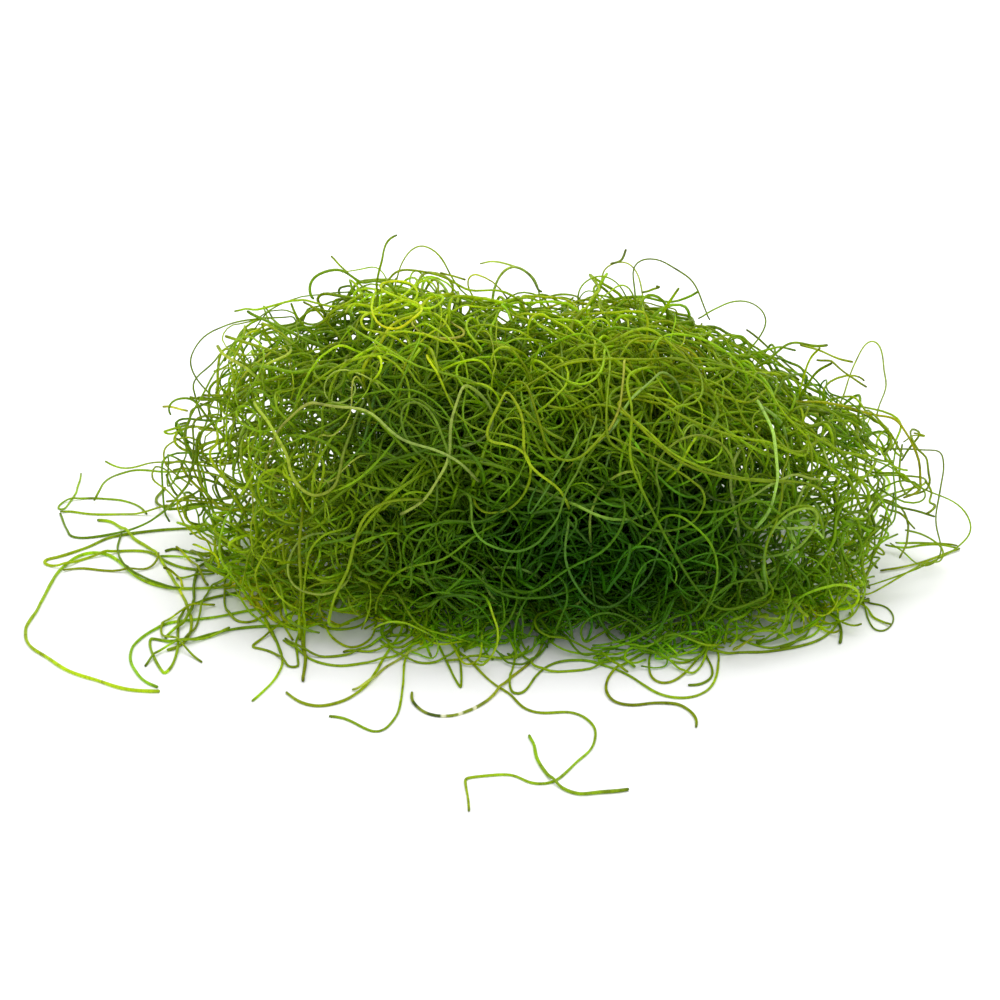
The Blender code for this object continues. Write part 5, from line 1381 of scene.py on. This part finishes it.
# short ones that hang and lie round the foot, most of them at the front
turn = np.where(rng.random(FRINGE) < 0.72, rng.uniform(1.05, 1.93, FRINGE), rng.uniform(0, 2, FRINGE)) * math.pi
spread = rng.uniform(0.80, 1.10, FRINGE)
front = np.clip(-np.sin(turn), 0, 1) * rng.uniform(0, 4, FRINGE)
foot = np.stack([
    MASS_CENTRE_X + 50 * spread * np.cos(turn), MASS_CENTRE_Y + 31 * spread * np.sin(turn) - front, rng.uniform(0.4, 9, FRINGE)], 1)
foot[:, 2] *= np.clip((1.12 - spread) / 0.25, 0.08, 1)
inward = unit(MIDDLE - foot)
runs = grow(
    foot, -0.3 * inward + 0.8 * rng.normal(size=(FRINGE, 3)) * np.array([1, 1, 0.8]), rng.uniform(12, 42, FRINGE),
    rng.uniform(1.0, 1.2, FRINGE), np.clip(np.exp(rng.normal(math.log(3.6), 0.45, FRINGE)), 1.8, 10), 0.9, 0.5, flat=0.12, shyness=0.1,
)  # fmt: skip
bulk += [Strand(run, r, tone, 1.0) for run, r, tone in zip(kept_in(runs, 2.2), rng.choice([0.13, 0.17, 0.21], FRINGE), rng.choice(["green", "dark"], FRINGE, p=[0.75, 0.25]))]

# the core, which only fills the gaps between the others
room = rng.uniform(0.50, 0.74, CORE)
runs = grow(
    points_inside(CORE, 0.55), rng.normal(size=(CORE, 3)), rng.uniform(60, 160, CORE), room,
    np.clip(np.exp(rng.normal(math.log(8.0), 0.4, CORE)), 5, 22), 0.8, 0.3,
)  # fmt: skip
fillers = [Strand(run, 0.25, "dark", 1.0) for run in runs]

# light shows through in places, and nothing covers the filaments that were traced on the near side
leaders = [s.run for s in stray_strands if s.name.startswith(("stray_skin", "stray_left_edge", "stray_floor_front"))]
bulk, fillers = clear_of_wide_openings(bulk), clear_of_wide_openings(fillers)
for group in (bulk, fillers):
    runs = opened([s.run for s in group])
    runs = drawn_behind(runs, leaders)
    for strand, run in zip(group, runs):
        strand.run = run

every = main_strands + stray_strands + bulk + fillers
push_apart(every, 14)

green = algae_material("algae_strand", 0.2)

for strand in main_strands:
    strand.run = kinked(strand.run, strand.loose)
    piece = make_tubes(strand.name + "_fine", [strand], 8, 9.0, 0.25 if strand.tone == "banded" else 0.8, 1.5, green)
    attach(piece, "root")
    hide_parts(strand.name)

for group in STRAYS:
    some = [s for s in stray_strands if s.name.startswith("stray_" + group + "_")]
    for strand in some:
        strand.run = kinked(strand.run, strand.loose)
    piece = make_tubes("filaments_" + group, some, 6, 11.0, 1.2, 1.5, green)
    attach(piece, "root")

# the tangle, its outer filaments with more sides than those that lie deep
bulk = hollowed(bulk, 0.28)
depth = np.array([np.mean(mass_value(s.run)) for s in bulk])
order = np.argsort(-depth)
outer, inner = order[: int(0.55 * len(order))], order[int(0.55 * len(order)) :]
outer, inner = [bulk[k] for k in outer], [bulk[k] for k in inner]
for name, some, sides, turn, longest, parts in (
    ("outer", outer, 5, 16.0, 1.9, 3), ("inner", inner, 4, 18.0, 2.0, 2), ("core", fillers, 3, 24.0, 3.0, 1)):  # fmt: skip
    for i in range(parts):
        piece = make_tubes(f"tangle_{name}_{i + 1}", some[i::parts], sides, turn, longest, 1.6, green)
        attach(piece, "root")
        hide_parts("tangled_mass")
